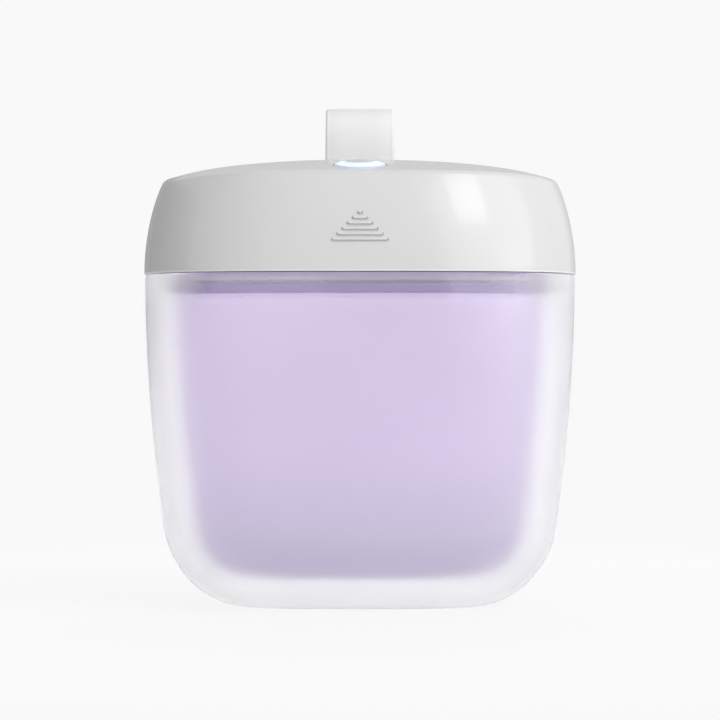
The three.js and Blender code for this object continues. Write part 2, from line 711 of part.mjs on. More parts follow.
function mainBoard() {
  const middleY = (boardBack - boardFront) / 2;
  const halfDepth = (boardBack + boardFront) / 2;
  const slab = plate(boardHalfWidth, halfDepth, board.corner, 0, middleY, boardBottom, boardTop);
  const tongueX = [-board.tongueHalfWidth, board.tongueHalfWidth];
  const tongue = box(tongueX, [0, boardRoomY - board.tongueGap], [boardBottom, boardTop]);
  const chipX = boardScrewX - board.chip;
  const chip = box([-chipX - board.chip / 2, -chipX + board.chip / 2],
    [-boardScrewY / 2 - board.chip, -boardScrewY / 2], [boardBottom, boardTop + board.chipThick]);
  const coil = plate(board.coil / 2, board.coil / 2, board.corner / 2, boardScrewX, 0, boardBottom,
    boardTop + board.coilThick);
  const drill = ([x, y], radius) => uprightCylinder(x, y, boardBottom - overrun, boardTop + overrun, radius,
    smallRoundSteps);
  return cut(unite([slab, tongue, chip, coil]), [
    ...boardScrewSpots.map((spot) => drill(spot, boardScrew.shankRadius + fit)),
    ...quarters.map((quarter) => drill(screwSpot(quarter), lid.postRadius + fit)),
  ]);
}

function tactSwitch() {
  const half = tact.size / 2;
  const z0 = boardTop + fit;
  const body = box([-half, half], [ringY - half, ringY + half], [z0, z0 + tact.thick]);
  return body.add(uprightCylinder(0, ringY, z0, tactTop, tact.plungerRadius, smallRoundSteps));
}

function chargingPort() {
  const y0 = portMouth - port.depth;
  const can = portOval(0, y0, portMouth);
  const room = portOval(-port.wall, y0 + port.backWall, portMouth + overrun);
  const tongue = box([-port.tongueWidth / 2, port.tongueWidth / 2], [y0, portMouth - port.backWall],
    [portZ - port.tongueThick / 2, portZ + port.tongueThick / 2]);
  return can.subtract(room).add(tongue);
}

function batteryCell() {
  const { width, depth, corner, bevel } = battery;
  const shape = roundedRectangle(width / 2 - bevel, depth / 2 - bevel, corner);
  const geometry = new THREE.ExtrudeGeometry(shape, {
    depth: battery.thick - 2 * bevel, curveSegments: 3,
    bevelSize: bevel, bevelThickness: bevel, bevelSegments: 1,
  });
  const z0 = boardTop + fit;
  geometry.translate(0, battery.y, z0 + bevel);
  const back = battery.y + depth / 2;
  const tab = box([-battery.tabWidth / 2, battery.tabWidth / 2], [back - bevel, back + battery.tabDepth],
    [z0 + bevel, z0 + battery.thick / 2]);
  return solid(geometry).add(tab);
}

function lidSensor() {
  const z0 = coverTop + fit;
  const round = uprightCylinder(0, sensorY, z0, z0 + sensor.height, sensor.radius);
  return round.subtract(box([-overrun, overrun], [sensorY + sensor.flat, sensorY + overrun],
    [z0 - overrun, z0 + sensor.height + overrun]));
}

// A round piece in the dome: its top follows the dome, its [radius, height] profile runs from the top
// centre or inner edge down; heights in topProfile are above the dome, the others are plain heights
function domePlug(topProfile, lowerProfile, closed) {
  const rows = [
    ...topProfile.map(([radius, lift]) => ({ radius, height: (x, y) => domeHeight(x, y) + lift })),
    ...lowerProfile.map(([radius, z]) => ({ radius, height: () => z })),
  ];
  const profile = rows.map(({ radius }, i) => new THREE.Vector2(radius, -i));
  if (closed) profile.push(profile[0].clone());
  const geometry = new THREE.LatheGeometry(profile, roundSteps);
  geometry.rotateX(Math.PI / 2);
  const corners = geometry.attributes.position;
  for (let i = 0; i < corners.count; i += 1) {
    const row = rows[Math.round(-corners.getZ(i)) % rows.length];
    const [x, y] = [corners.getX(i), corners.getY(i) + ringY];
    corners.setXYZ(i, x, y, row.height(x, y));
  }
  return solid(geometry);
}

function lightRing() {
  const ledgeTop = collarTop + ring.ledgeThick + fit;
  const tubeBottom = boardTop + fit + indicator.thick + fit;
  const { innerRadius, bevelInner, outerRadius, proud, edge } = ring;
  return domePlug(
    [[innerRadius, proud - edge], [bevelInner, proud], [outerRadius, edge]],
    [
      [ring.outerRadius, collarTop], [ring.collarRadius, collarTop],
      [ring.collarRadius, collarTop - ring.collarThick], [ring.outerRadius, collarTop - ring.collarThick],
      [ring.outerRadius, tubeBottom], [ring.innerRadius, tubeBottom],
      [ring.innerRadius, ledgeTop - ring.ledgeThick], [ring.ledgeRadius, ledgeTop - ring.ledgeThick],
      [ring.ledgeRadius, ledgeTop], [ring.innerRadius, ledgeTop],
    ],
    true,
  );
}

function powerButton() {
  const ledgeTop = collarTop + ring.ledgeThick + fit;
  const skirtBottom = ledgeTop + button.travel + button.stopGap;
  const { radius, crown, proud } = button;
  const crownShares = [0, 0.5, 0.8, 0.95];
  const top = crownShares.map((share) => [radius * share, proud + crown * (1 - share ** 2)]);
  return domePlug(
    [...top, [radius, proud - ring.edge]],
    [
      [radius, skirtBottom], [button.stemRadius, skirtBottom],
      [button.stemRadius, stemBottom], [0, stemBottom],
    ],
    false,
  );
}

function indicatorLed(side) {
  const x = (side * (ring.innerRadius + ring.outerRadius)) / 2;
  const z0 = boardTop + fit;
  return box([x - indicator.width / 2, x + indicator.width / 2],
    [ringY - indicator.length / 2, ringY + indicator.length / 2], [z0, z0 + indicator.thick]);
}

// Centre line of the strap's loop from the bar: round the bar, up one leg, over the top, down the other
function ribbonLine() {
  const root = strapBar.radius + fit + strap.thick / 2;
  const crownHeight = strap.rise - strap.thick / 2;
  const belly = crownHeight - strap.bellyShift;
  const line = [];
  for (let i = 0; i <= ribbonSteps.root; i += 1) {
    const angle = Math.PI + (Math.PI * i) / ribbonSteps.root;
    line.push(new THREE.Vector2(root * Math.cos(angle), root * Math.sin(angle)));
  }
  const leg = new THREE.CubicBezierCurve(
    new THREE.Vector2(root, 0), new THREE.Vector2(root, strap.legPull),
    new THREE.Vector2(strap.bellyHalf, belly - strap.legPull), new THREE.Vector2(strap.bellyHalf, belly),
  ).getPoints(ribbonSteps.leg);
  line.push(...leg.slice(1));
  for (let i = 1; i < ribbonSteps.crown; i += 1) {
    const angle = (Math.PI * i) / ribbonSteps.crown;
    const rise = strap.bellyShift * Math.sin(angle);
    line.push(new THREE.Vector2(strap.bellyHalf * Math.cos(angle), belly + rise));
  }
  leg.slice(1).reverse().forEach((point) => line.push(new THREE.Vector2(-point.x, point.y)));
  return line;
}

function offsetLine(line, distance) {
  return line.map((point, i) => {
    const before = line[(i + line.length - 1) % line.length];
    const after = line[(i + 1) % line.length];
    const along = after.clone().sub(before).normalize();
    return new THREE.Vector2(point.x + along.y * distance, point.y - along.x * distance);
  });
}

function hangingStrap() {
  const line = ribbonLine();
  const toYZ = (point) => [barY + point.x, barZ + point.y];
  const outer = offsetLine(line, strap.thick / 2).map(toYZ);
  const inner = offsetLine(line, -strap.thick / 2).map(toYZ);
  const half = strap.width / 2;
  return crosswise(outer, -half, half).subtract(crosswise(inner, -half - overrun, half + overrun));
}

place('base_shell', baseShell(), 'milky');
place('inner_cup', innerCup(), 'lilac');
place('neck_ring', neckRing(), 'neckLilac');
place('hinge_pin', pinShape(lugEnd - fit, hinge.pinRadius), 'steel');

place('lid_shell', lidShell(), 'lidWhite');
place('lid_cover', lidCover(), 'lidWhite');
place('lid_gasket', lidGasket(), 'silicone');
place('strap_bar', strapBarSolid(0), 'steel');
place('light_ring', lightRing(), 'ringGlow');

place('uv_window', panePlate(0, paneSeat, paneSeat + pane.thick), 'quartz');
place('uv_board', uvBoardSolid(), 'aluminiumBoard');
for (const [step, word] of [[-1, 'left'], [0, 'middle'], [1, 'right']]) {
  place(`uv_led_${word}`, uvLedSolid(step * uvLed.spacing), 'ceramic');
}

place('main_board', mainBoard(), 'boardGreen');
place('tact_switch', tactSwitch(), 'black');
place('usb_port', chargingPort(), 'steel');
place('lid_sensor', lidSensor(), 'black');
place('battery_cell', batteryCell(), 'cell');

for (const [side, word] of [[-1, 'left'], [1, 'right']]) {
  place(`base_magnet_${word}`, baseMagnet(side), 'magnet');
  place(`lid_magnet_${word}`, lidMagnet(side), 'magnet');
  place(`uv_screw_${word}`, uvBoardScrew(side), 'steel');
  place(`indicator_led_${word}`, indicatorLed(side), 'ceramic');
}

for (const quarter of quarters) {
  place(`cover_screw_${quarter + 1}`, screwIntoPost(quarter), 'steel');
  place(`board_screw_${quarter + 1}`, screwIntoStandoff(quarter), 'steel');
}

place('power_button', powerButton(), 'buttonGrey');
place('strap', hangingStrap(), 'strapGrey');

export default model;
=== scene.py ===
"""Case that sterilizes what lies in it with light: milky cup, glossy lid on a rear hinge, lit button, strap.

Metres, X right, Y back, Z up, in the frame of the CAD part."""
import json
import math
from types import SimpleNamespace

import bmesh
import bpy
import numpy as np
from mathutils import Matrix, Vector


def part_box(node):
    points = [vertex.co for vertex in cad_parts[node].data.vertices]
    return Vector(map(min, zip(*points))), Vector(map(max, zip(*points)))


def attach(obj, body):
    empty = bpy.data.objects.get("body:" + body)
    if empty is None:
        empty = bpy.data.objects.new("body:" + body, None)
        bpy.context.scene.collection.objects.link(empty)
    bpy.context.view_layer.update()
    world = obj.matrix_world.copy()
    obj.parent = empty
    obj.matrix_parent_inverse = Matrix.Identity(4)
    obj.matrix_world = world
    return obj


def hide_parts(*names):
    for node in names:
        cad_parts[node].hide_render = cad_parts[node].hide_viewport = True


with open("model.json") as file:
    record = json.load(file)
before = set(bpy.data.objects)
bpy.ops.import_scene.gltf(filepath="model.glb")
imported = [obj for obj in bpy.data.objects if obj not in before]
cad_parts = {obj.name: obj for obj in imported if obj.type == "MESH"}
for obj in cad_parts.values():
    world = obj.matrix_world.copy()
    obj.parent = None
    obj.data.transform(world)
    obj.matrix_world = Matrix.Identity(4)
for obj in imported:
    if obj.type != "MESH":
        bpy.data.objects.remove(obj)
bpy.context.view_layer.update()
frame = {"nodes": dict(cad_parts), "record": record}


def mm(**sizes):
    """Sizes given in millimetres, as metres."""
    return SimpleNamespace(**{name: value / 1000 for name, value in sizes.items()})


# Driving sizes, which are the CAD part's apart from small ones that follow the photograph more closely
case = mm(half_width=48, half_depth=44, split=72.9, gap=0.4, lid_height=21.3, fit=0.3)
dome = mm(lift=0.26, rise=4.1, sag=0.9, sag_start=22, sag_end=43)
shell = mm(set_in=0.2, wall=2, floor=2.2, taper=6.85, reach=14.2, corner=17.2, rim_width=3.6,
           rim_height=2.1, rim_ramp=0.3, edge=0.5, clear_half=32, clear_fade=6.5, clear_drop=4.6)
cup = mm(inset=6.2, wall=1.6, stand=6.7)
neck = mm(skirt_drop=4.5, skirt_wall=0.9, bead_wall=1.4, bead=1.8, groove=0.5, flange=1.8, lid_gap=0.5,
          rise=1.2, rise_wall=1.4, edge=0.3)
lid = mm(wall=2, lean=4.15, crease=1.0, edge=0.12, lip=0.3, post=2.1)
grip = mm(pitch=1.15, height=0.7, width=11.8, shorter=2.2, lift=6.9, proud=0.4, sunk=0.8, round=0.08,
          groove=0.22, groove_depth=0.4)
cover = mm(plate=2, clearance=0.35, rim_lift=0.4, rim_wall=4)
gasket = mm(thick=1, wall=1.3, edge=0.3)
pane = mm(width=27, depth=11, ledge=1.5, seat=0.8, corner=1.5)
ring = mm(inset=12.5, outer=5.6, inner=3.95, proud=0.55, bevel=4.3, edge=0.1, collar=6.8, collar_thick=1,
          boss=7.2, boss_drop=3.2, ledge=2.3, ledge_thick=0.7)
button = mm(radius=3.75, stem=2, proud=0.55, crown=0.62, lit_shift=0.3)
hinge = mm(barrel=2.6, gap=0.4, pin=1, lid_half=10.2, lug=6.6, ramp=3.6, bite=1.3)
strap = mm(width=16.4, thick=1.2, rise=21.5, belly=5.6, belly_shift=6.2, leg_pull=5)
bar = mm(radius=1.2, inset=6.6, drop=2.8, bite=1.4)
notch = mm(side=0.8, front=4.6, drop=3.6, wall=1.5, cheek=2.5, corner=1.6)
port = mm(width=9, height=3.2, depth=7.4, wall=0.35, tongue=6.4, tongue_thick=0.7, back=1)
recess = mm(width=12.6, height=6.2, depth=0.9)
cut = mm(overrun=6, least_radius=0.01)

# Powers of the plan's corners, the shell's taper, the lid's lean and the dome
CORNER_POWER = 3
TAPER_POWER = 1.9
LEAN_POWER = 2
DOME_POWER = 2.1
SAG_POWER = 6

# CAD nodes of the screws that hold the cover to the lid's posts
COVER_SCREWS = ("cover_screw_1", "cover_screw_2", "cover_screw_3", "cover_screw_4")

# Counts, and shares of the size that each follows
GRIP_BARS = 6
SOCKET_CONTACTS = 12
OUTLINE_STEPS = 176
ROUND_STEPS = 64
PIN_STEPS = 32
FLOOR_SHARES = (0.05, 0.3, 0.6, 0.85, 0.97)
DOME_SHARES = np.linspace(0.97, 0.01, 40)
DOME_UNDERSIDE_SHARES = np.linspace(0.9, 0.01, 14)
LID_ROOM_SHARES = np.linspace(0.95, 0.01, 24)
STRAP_TAPER_SHARE = 0.028
STRAP_THICK_SHARE = 0.97
CLEAR_FROST_SHARE = 0.35

# Noise values mostly lie between these two
NOISE_LOW = 0.3
NOISE_HIGH = 0.7

# Places worked out from the sizes
depth_less = case.half_width - case.half_depth
shell_half = case.half_width - shell.set_in
cup_half = shell_half - cup.inset
cup_mouth = cup_half - cup.wall
neck_seat = case.split + case.fit
flange_top = neck_seat + neck.flange
rise_top = flange_top + neck.rise
flange_half = case.half_width - lid.wall - neck.lid_gap
lid_bottom = case.split + case.gap
crease_height = lid_bottom + case.lid_height
dome_half = case.half_width - lid.lean
dome_depth = dome_half - depth_less
dome_base = crease_height + dome.lift
apex = dome_base + dome.rise
ceiling = rise_top + gasket.thick + 2 * case.fit
cover_top = ceiling + cover.plate
cover_rim_bottom = flange_top + cover.rim_lift
ring_y = ring.inset - case.half_depth
collar_top = crease_height - ring.boss_drop - case.fit
bar_y = case.half_depth - bar.inset
bar_z = crease_height - bar.drop
hinge_y = case.half_depth + hinge.gap + hinge.barrel
hinge_z = case.split + case.gap / 2
lug_start = hinge.lid_half + case.fit
lug_end = lug_start + hinge.lug
notch_half = strap.width / 2 + notch.side
notch_front = bar_y - notch.front
notch_floor = bar_z - notch.drop


# Meshes

def placed(name, data):
    """A new object in the scene."""
    item = bpy.data.objects.new(name, data)
    bpy.context.scene.collection.objects.link(item)
    return item


def new_piece(name, verts, faces):
    """A smooth-shaded mesh object, its edges sharp where two faces meet steeply."""
    mesh = bpy.data.meshes.new(name)
    mesh.from_pydata([tuple(v) for v in verts], [], [tuple(f) for f in faces])
    mesh.update()
    face_out(mesh)
    return shade(placed(name, mesh))


def face_out(mesh):
    bm = bmesh.new()
    bm.from_mesh(mesh)
    bmesh.ops.recalc_face_normals(bm, faces=bm.faces)
    bm.to_mesh(mesh)
    bm.free()


def shade(piece, angle=32):
    """Smooth shading, with edges sharp where faces meet at more than the angle."""
    mesh = piece.data
    mesh.polygons.foreach_set("use_smooth", [True] * len(mesh.polygons))
    mesh.set_sharp_from_angle(angle=math.radians(angle))
    return piece


def carve(piece, tool, operation="DIFFERENCE"):
    """Cuts the tool from the piece, or joins it, and drops the tool."""
    change = piece.modifiers.new("carve", "BOOLEAN")
    change.operation = operation
    change.solver = "MANIFOLD"
    change.object = tool
    graph = bpy.context.evaluated_depsgraph_get()
    mesh = bpy.data.meshes.new_from_object(piece.evaluated_get(graph))
    piece.modifiers.clear()
    old = piece.data
    piece.data = mesh
    mesh.name = piece.name
    bpy.data.meshes.remove(old)
    bpy.data.objects.remove(tool)
    return shade(piece)


def join(pieces):
    """Several objects as one mesh, in the first one."""
    bm = bmesh.new()
    for piece in pieces:
        bm.from_mesh(piece.data)
    bm.to_mesh(pieces[0].data)
    bm.free()
    for piece in pieces[1:]:
        bpy.data.objects.remove(piece)
    return shade(pieces[0])


def rounded_rectangle(half_x, half_y, corner, steps=8):
    points = []
    for quarter, (sx, sy) in enumerate([(1, 1), (-1, 1), (-1, -1), (1, -1)]):
        for i in range(steps + 1):
            angle = math.pi / 2 * (quarter + i / steps)
            points.append((sx * (half_x - corner) + corner * math.cos(angle),
                           sy * (half_y - corner) + corner * math.sin(angle)))
    return points


def prism(name, outline, low, high, axis="z", centre=(0, 0, 0)):
    """An outline drawn out along an axis; its two numbers are the other axes, in order."""
    order = {"x": (2, 0, 1), "y": (0, 2, 1), "z": (0, 1, 2)}[axis]
    count = len(outline)
    verts = []
    for level in (low, high):
        for a, b in outline:
            flat = (a, b, level)
            verts.append([flat[k] + c for k, c in zip(order, centre)])
    faces = [tuple(range(count)), tuple(range(2 * count - 1, count - 1, -1))]
    for i in range(count):
        after = (i + 1) % count
        faces.append((i, i + count, after + count, after))
    return new_piece(name, verts, faces)


def circle(radius, steps=ROUND_STEPS):
    return [(radius * math.cos(2 * math.pi * i / steps), radius * math.sin(2 * math.pi * i / steps))
            for i in range(steps)]


# Rounded-square rings and lofts through them

def ring_at(half_width, z):
    return (half_width, half_width - depth_less, z)


def outline_points(half_width, half_depth, steps=OUTLINE_STEPS):
    angles = np.linspace(0, 2 * math.pi, steps, endpoint=False)
    across = (np.abs(np.cos(angles)) / half_width) ** CORNER_POWER
    along = (np.abs(np.sin(angles)) / half_depth) ** CORNER_POWER
    radius = (across + along) ** (-1 / CORNER_POWER)
    return np.stack([radius * np.cos(angles), radius * np.sin(angles)], axis=1)


def loft(name, rings, closed=False):
    """A solid through the rings. Open ends meet in a point; a closed loft is a frame."""
    count = OUTLINE_STEPS
    verts = []
    for half_width, half_depth, z in rings:
        verts += [(x, y, z) for x, y in outline_points(half_width, half_depth)]
    faces = []
    for k in range(len(rings) if closed else len(rings) - 1):
        low, high = k * count, (k + 1) % len(rings) * count
        faces += [(low + i, low + (i + 1) % count, high + (i + 1) % count, high + i) for i in range(count)]
    if not closed:
        for start, z in ((0, rings[0][2]), ((len(rings) - 1) * count, rings[-1][2])):
            faces += [(len(verts), start + i, start + (i + 1) % count) for i in range(count)]
            verts.append((0, 0, z))
    return new_piece(name, verts, faces)


def bend(start, corner, end, steps):
    """Rings along a bend from one ring to another, drawn towards a corner ring."""
    rings = []
    for share in np.linspace(0, 1, steps + 1):
        weights = ((1 - share) ** 2, 2 * share * (1 - share), share ** 2)
        rings.append(tuple(sum(w * r[k] for w, r in zip(weights, (start, corner, end))) for k in range(3)))
    return rings


def shell_side(z):
    return shell_half - shell.taper * ((case.split - z) / case.split) ** TAPER_POWER


def cup_rings(inset, floor, top, corner_steps, side_steps):
    """Rings of a cup inside the shell's outer face: round bottom corner, then the side."""
    reach = shell.reach - inset
    rise = shell.corner - floor
    rings = []
    for angle in np.linspace(0, math.pi / 2, corner_steps + 1):
        z = shell.corner - rise * math.cos(angle)
        rings.append(ring_at(shell_side(z) - inset - reach * (1 - math.sin(angle)), z))
    sides = np.linspace(shell.corner, top, side_steps + 1)[1:]
    return rings + [ring_at(shell_side(z) - inset, z) for z in sides]


def floor_rings(first):
    """Flat rings that fill the floor inside the first ring."""
    return [(first[0] * share, first[1] * share, first[2]) for share in FLOOR_SHARES]


def lid_side(z):
    return case.half_width - lid.lean * ((z - lid_bottom) / case.lid_height) ** LEAN_POWER


def dome_height_at_share(share):
    return dome_base + dome.rise * (1 - share ** DOME_POWER)


def dome_share(x, y):
    across = (abs(x) / dome_half) ** CORNER_POWER
    along = (abs(y) / dome_depth) ** CORNER_POWER
    return (across + along) ** (1 / CORNER_POWER)


def dome_height(x, y):
    return dome_height_at_share(dome_share(x, y))


def dome_ring(share, sink):
    return (dome_half * share, dome_depth * share, dome_height_at_share(share) - sink)


def smooth_step(value, low, high):
    """0 below the low value and 1 above the high one, with a soft rise between."""
    share = min(1, max(0, (value - low) / (high - low)))
    return share * share * (3 - 2 * share)


def sag_sides(piece):
    """Lowers the crease a little towards the left and right, as it is lower there than in front."""
    for vert in piece.data.vertices:
        x, y, z = vert.co
        near_rim = min(1, dome_share(x, y)) ** SAG_POWER
        up = min(1, max(0, (z - lid_bottom) / case.lid_height)) ** SAG_POWER
        vert.co.z -= dome.sag * smooth_step(abs(x), dome.sag_start, dome.sag_end) * near_rim * up


# Base

def base_shell():
    outer = cup_rings(0, 0, case.split - shell.edge, corner_steps=20, side_steps=22)
    top = case.split + case.gap / 2
    lip = bend(outer[-1], ring_at(shell_half, top), ring_at(shell_half - shell.edge, top), steps=4)
    rim_inner = shell_half - shell.rim_width
    rim_under = case.split - shell.rim_height
    inside = cup_rings(shell.wall, shell.floor, rim_under - shell.rim_ramp, corner_steps=14, side_steps=14)
    inside += [ring_at(rim_inner, rim_under), ring_at(rim_inner, top)]
    rings = floor_rings(outer[0]) + outer[:-1] + lip + inside[::-1] + floor_rings(inside[0])[::-1]
    piece = loft("milky_shell", rings)
    for side in (-1, 1):
        carve(piece, hinge_lug(side), "UNION")
    return carve(piece, pin_shape("pin_hole", lug_end + cut.overrun, hinge.pin + case.fit))


def hinge_lug(side):
    x0, x1 = sorted((side * lug_start, side * lug_end))
    root = case.half_depth - hinge.bite
    under = hinge_z - hinge.barrel
    outline = [(root, case.split), (hinge_y, case.split), (hinge_y, under), (root, under - hinge.ramp)]
    web = prism("lug", outline, x0, x1, "x")
    return carve(web, prism("barrel", circle(hinge.barrel), x0, x1, "x", (0, hinge_y, hinge_z)), "UNION")


def pin_shape(name, half, radius):
    return prism(name, circle(radius, PIN_STEPS), -half, half, "x", (0, hinge_y, hinge_z))


def inner_cup():
    outer = cup_rings(cup.inset, cup.stand, case.split, corner_steps=18, side_steps=20)
    inside = cup_rings(cup.inset + cup.wall, cup.stand + cup.wall, case.split, corner_steps=14, side_steps=16)
    return loft("lilac_cup", floor_rings(outer[0]) + outer + inside[::-1] + floor_rings(inside[0])[::-1])


def neck_band():
    skirt = cup_half + case.fit
    bead = skirt + neck.bead_wall
    bead_bottom = neck_seat - neck.bead
    groove_bottom = bead_bottom - neck.groove
    rise = cup_mouth + neck.rise_wall
    return loft("neck_band", [
        ring_at(skirt, neck_seat - neck.skirt_drop),
        ring_at(skirt + neck.skirt_wall - neck.edge, neck_seat - neck.skirt_drop),
        ring_at(skirt + neck.skirt_wall, neck_seat - neck.skirt_drop + neck.edge),
        ring_at(skirt + neck.skirt_wall, groove_bottom),
        ring_at(bead - neck.groove, bead_bottom),
        ring_at(bead - neck.edge / 2, bead_bottom),
        ring_at(bead, bead_bottom + neck.edge / 2),
        ring_at(bead, neck_seat),
        ring_at(flange_half, neck_seat),
        ring_at(flange_half, flange_top - neck.edge),
        ring_at(flange_half - neck.edge, flange_top),
        ring_at(rise, flange_top),
        ring_at(rise, rise_top - neck.edge),
        ring_at(rise - neck.edge, rise_top),
        ring_at(cup_mouth + neck.edge, rise_top),
        ring_at(cup_mouth, rise_top - neck.edge),
        ring_at(cup_mouth, neck_seat),
        ring_at(skirt, neck_seat),
    ], closed=True)


# Lid

def lid_shell():
    crease_start = ring_at(lid_side(dome_base - lid.crease), dome_base - lid.crease)
    crease_corner = (dome_half, dome_depth, dome_base)
    wall_start = lid_bottom + lid.edge
    lip = bend(ring_at(case.half_width - lid.edge, lid_bottom), ring_at(case.half_width, lid_bottom),
               ring_at(lid_side(wall_start), wall_start), steps=5)
    wall = [ring_at(lid_side(z), z) for z in np.linspace(wall_start, crease_start[2], 24)[1:-1]]
    crease = bend(crease_start, crease_corner, dome_ring(1 - lid.crease / dome_half, 0), steps=10)
    top_rings = [dome_ring(share, 0) for share in DOME_SHARES]
    inner_top = crease_height - lid.wall - lid.crease
    inside = [ring_at(lid_side(z) - lid.wall, z) for z in np.linspace(lid_bottom, inner_top, 10)]
    inside += [dome_ring(share, lid.wall - dome.lift) for share in DOME_UNDERSIDE_SHARES]
    piece = loft("glossy_lid", top_rings[::-1] + crease[::-1] + wall[::-1] + lip[::-1] + inside)
    sag_sides(piece)
    carve(piece, lid_inside_features(), "UNION")
    carve(piece, lid_knuckle(), "UNION")
    top = apex + cut.overrun
    behind = case.half_depth + cut.overrun
    for cutter in (
        prism("ring_hole", circle(ring.outer + case.fit), cover_top, top, "z", (0, ring_y, 0)),
        notch_hollow("notch_hollow", 0, top),
        bar_shape("bar_hole", case.fit),
        pin_shape("pin_hole", lug_end, hinge.pin + case.fit),
        port_oval("port_slot", case.fit, port_mouth - port.depth - cut.overrun, behind),
        prism("port_recess", rounded_rectangle(recess.width / 2, recess.height / 2, recess.height / 2),
              port_mouth, behind, "y", (0, 0, port_z)),
        *grip_pads("grip_groove", grip_groove_levels(), -grip.groove),
    ):
        carve(piece, cutter)
    return join([piece, *grip_pads("grip_bar", grip_bar_levels())])


def lid_inside_features():
    """Posts for the cover's screws, boss round the light ring and walls of the notch, cut to the inside."""
    top = apex + cut.overrun
    lump = prism("boss", circle(ring.boss), collar_top + case.fit, top, "z", (0, ring_y, 0))
    for node in COVER_SCREWS:
        post = prism("post", circle(lid.post, PIN_STEPS), cover_top + case.fit, crease_height, "z",
                     spot_of(node))
        carve(lump, post, "UNION")
    carve(lump, notch_hollow("notch_block", notch.cheek, top), "UNION")
    heights = np.linspace(lid_bottom, crease_height - lid.wall, 12)
    rings = [ring_at(lid_side(z) - lid.wall / 2, z) for z in heights]
    rings += [dome_ring(share, lid.wall / 2) for share in LID_ROOM_SHARES]
    return carve(lump, loft("lid_room", rings), "INTERSECT")


def spot_of(node):
    """Middle of a CAD node seen from above."""
    low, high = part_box(node)
    return ((low.x + high.x) / 2, (low.y + high.y) / 2, 0)


def notch_hollow(name, cheek, top):
    """The notch at the lid's back, or with a cheek the block that it is cut from."""
    wall = notch.wall if cheek else 0
    y0, y1 = notch_front - wall, case.half_depth + cut.overrun
    outline = rounded_rectangle(notch_half + cheek, (y1 - y0) / 2, notch.corner)
    return prism(name, outline, notch_floor - wall, top, "z", (0, (y0 + y1) / 2, 0))


def bar_shape(name, clearance):
    half = notch_half + bar.bite - case.fit + clearance
    return prism(name, circle(bar.radius + clearance, PIN_STEPS), -half, half, "x", (0, bar_y, bar_z))


def lid_knuckle():
    half = hinge.lid_half
    root = case.half_depth - hinge.bite
    above = hinge_z + hinge.barrel
    outline = [(root, lid_bottom), (root, above + hinge.ramp), (hinge_y, above), (hinge_y, lid_bottom)]
    web = prism("knuckle", outline, -half, half, "x")
    return carve(web, prism("barrel", circle(hinge.barrel), -half, half, "x", (0, hinge_y, hinge_z)), "UNION")


def grip_pads(name, levels, raised=0):
    """One pad for each bar of the thumb grip, tilted with the wall behind it."""
    pads = []
    for i in range(GRIP_BARS):
        width = grip.width - grip.shorter * i
        z = lid_bottom + grip.lift + grip.pitch * i + raised
        slope = (lid_side(z - grip.pitch) - lid_side(z + grip.pitch)) / (2 * grip.pitch)
        pads.append(wall_pad(f"{name}_{i}", width / 2, grip.height / 2, z, math.atan(slope), levels))
    return pads


def grip_bar_levels():
    """A bar's section as (how far its outline is drawn in, how far it stands out)."""
    levels = [(0, -grip.sunk)]
    for angle in np.linspace(0, math.pi / 2, 6):
        levels.append(((1 - math.cos(angle)) * grip.round, grip.proud - grip.round * (1 - math.sin(angle))))
    return levels


def grip_groove_levels():
    """The fine groove under a bar and at its ends."""
    return [(-grip.groove, -grip.groove_depth), (-grip.groove, grip.proud)]


def wall_pad(name, half_x, half_z, z, tilt, levels):
    """A pad on the lid's front, flush with it at the top and standing out at its lower edge."""
    verts = []
    faces = []
    for inset, lift in levels:
        for a, b in rounded_rectangle(half_x - inset, half_z - inset, half_z - inset, steps=6):
            out = lift * (1 - b / half_z) / 2 if lift > 0 else lift
            depth = depth_less - lid_side(z) - out * math.cos(tilt) + b * math.sin(tilt)
            verts.append((a, depth, z + b * math.cos(tilt) + out * math.sin(tilt)))
    count = len(verts) // len(levels)
    for k in range(len(levels) - 1):
        for i in range(count):
            low, after = k * count, (i + 1) % count
            faces.append((low + i, low + after, low + count + after, low + count + i))
    faces.append(tuple(range(count)))
    faces.append(tuple(range(len(verts) - count, len(verts))))
    return new_piece(name, verts, faces)


# Charging socket, which hangs under the main board
port_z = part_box("main_board")[0].z - case.fit - port.height / 2
port_mouth = lid_side(port_z) - depth_less - recess.depth


def port_oval(name, extra, y0, y1):
    half_height = port.height / 2 + extra
    outline = rounded_rectangle(port.width / 2 + extra, half_height, half_height)
    return prism(name, outline, y0, y1, "y", (0, 0, port_z))


def charge_socket():
    """Steel can of the charging socket."""
    piece = port_oval("socket_can", 0, port_mouth - port.depth, port_mouth)
    room = port_oval("room", -port.wall, port_mouth - port.depth + port.back, port_mouth + cut.overrun)
    return carve(piece, room)


def socket_tongue():
    """Black tongue in the socket."""
    half = port.tongue / 2
    low, high = port_mouth - port.depth + port.back / 2, port_mouth - port.back
    outline = rounded_rectangle(half, port.tongue_thick / 2, port.tongue_thick / 4, steps=4)
    return prism("socket_tongue", outline, low, high, "y", (0, 0, port_z))


def socket_contacts():
    """A row of contacts on either side of the tongue."""
    pitch = port.tongue / (SOCKET_CONTACTS + 1)
    pad_shares = (0.28, 0.09, 0.05)
    back_share, front_share = 0.6, 1.3
    outline = rounded_rectangle(*(pitch * share for share in pad_shares), steps=2)
    low, high = port_mouth - port.depth * back_share, port_mouth - port.back * front_share
    pads = []
    for side in (-1, 1):
        for i in range(SOCKET_CONTACTS):
            x = (i - (SOCKET_CONTACTS - 1) / 2) * pitch
            z = port_z + side * port.tongue_thick / 2
            pads.append(prism("contact", outline, low, high, "y", (x, 0, z)))
    contacts = join(pads)
    contacts.name = "socket_contacts"
    return contacts


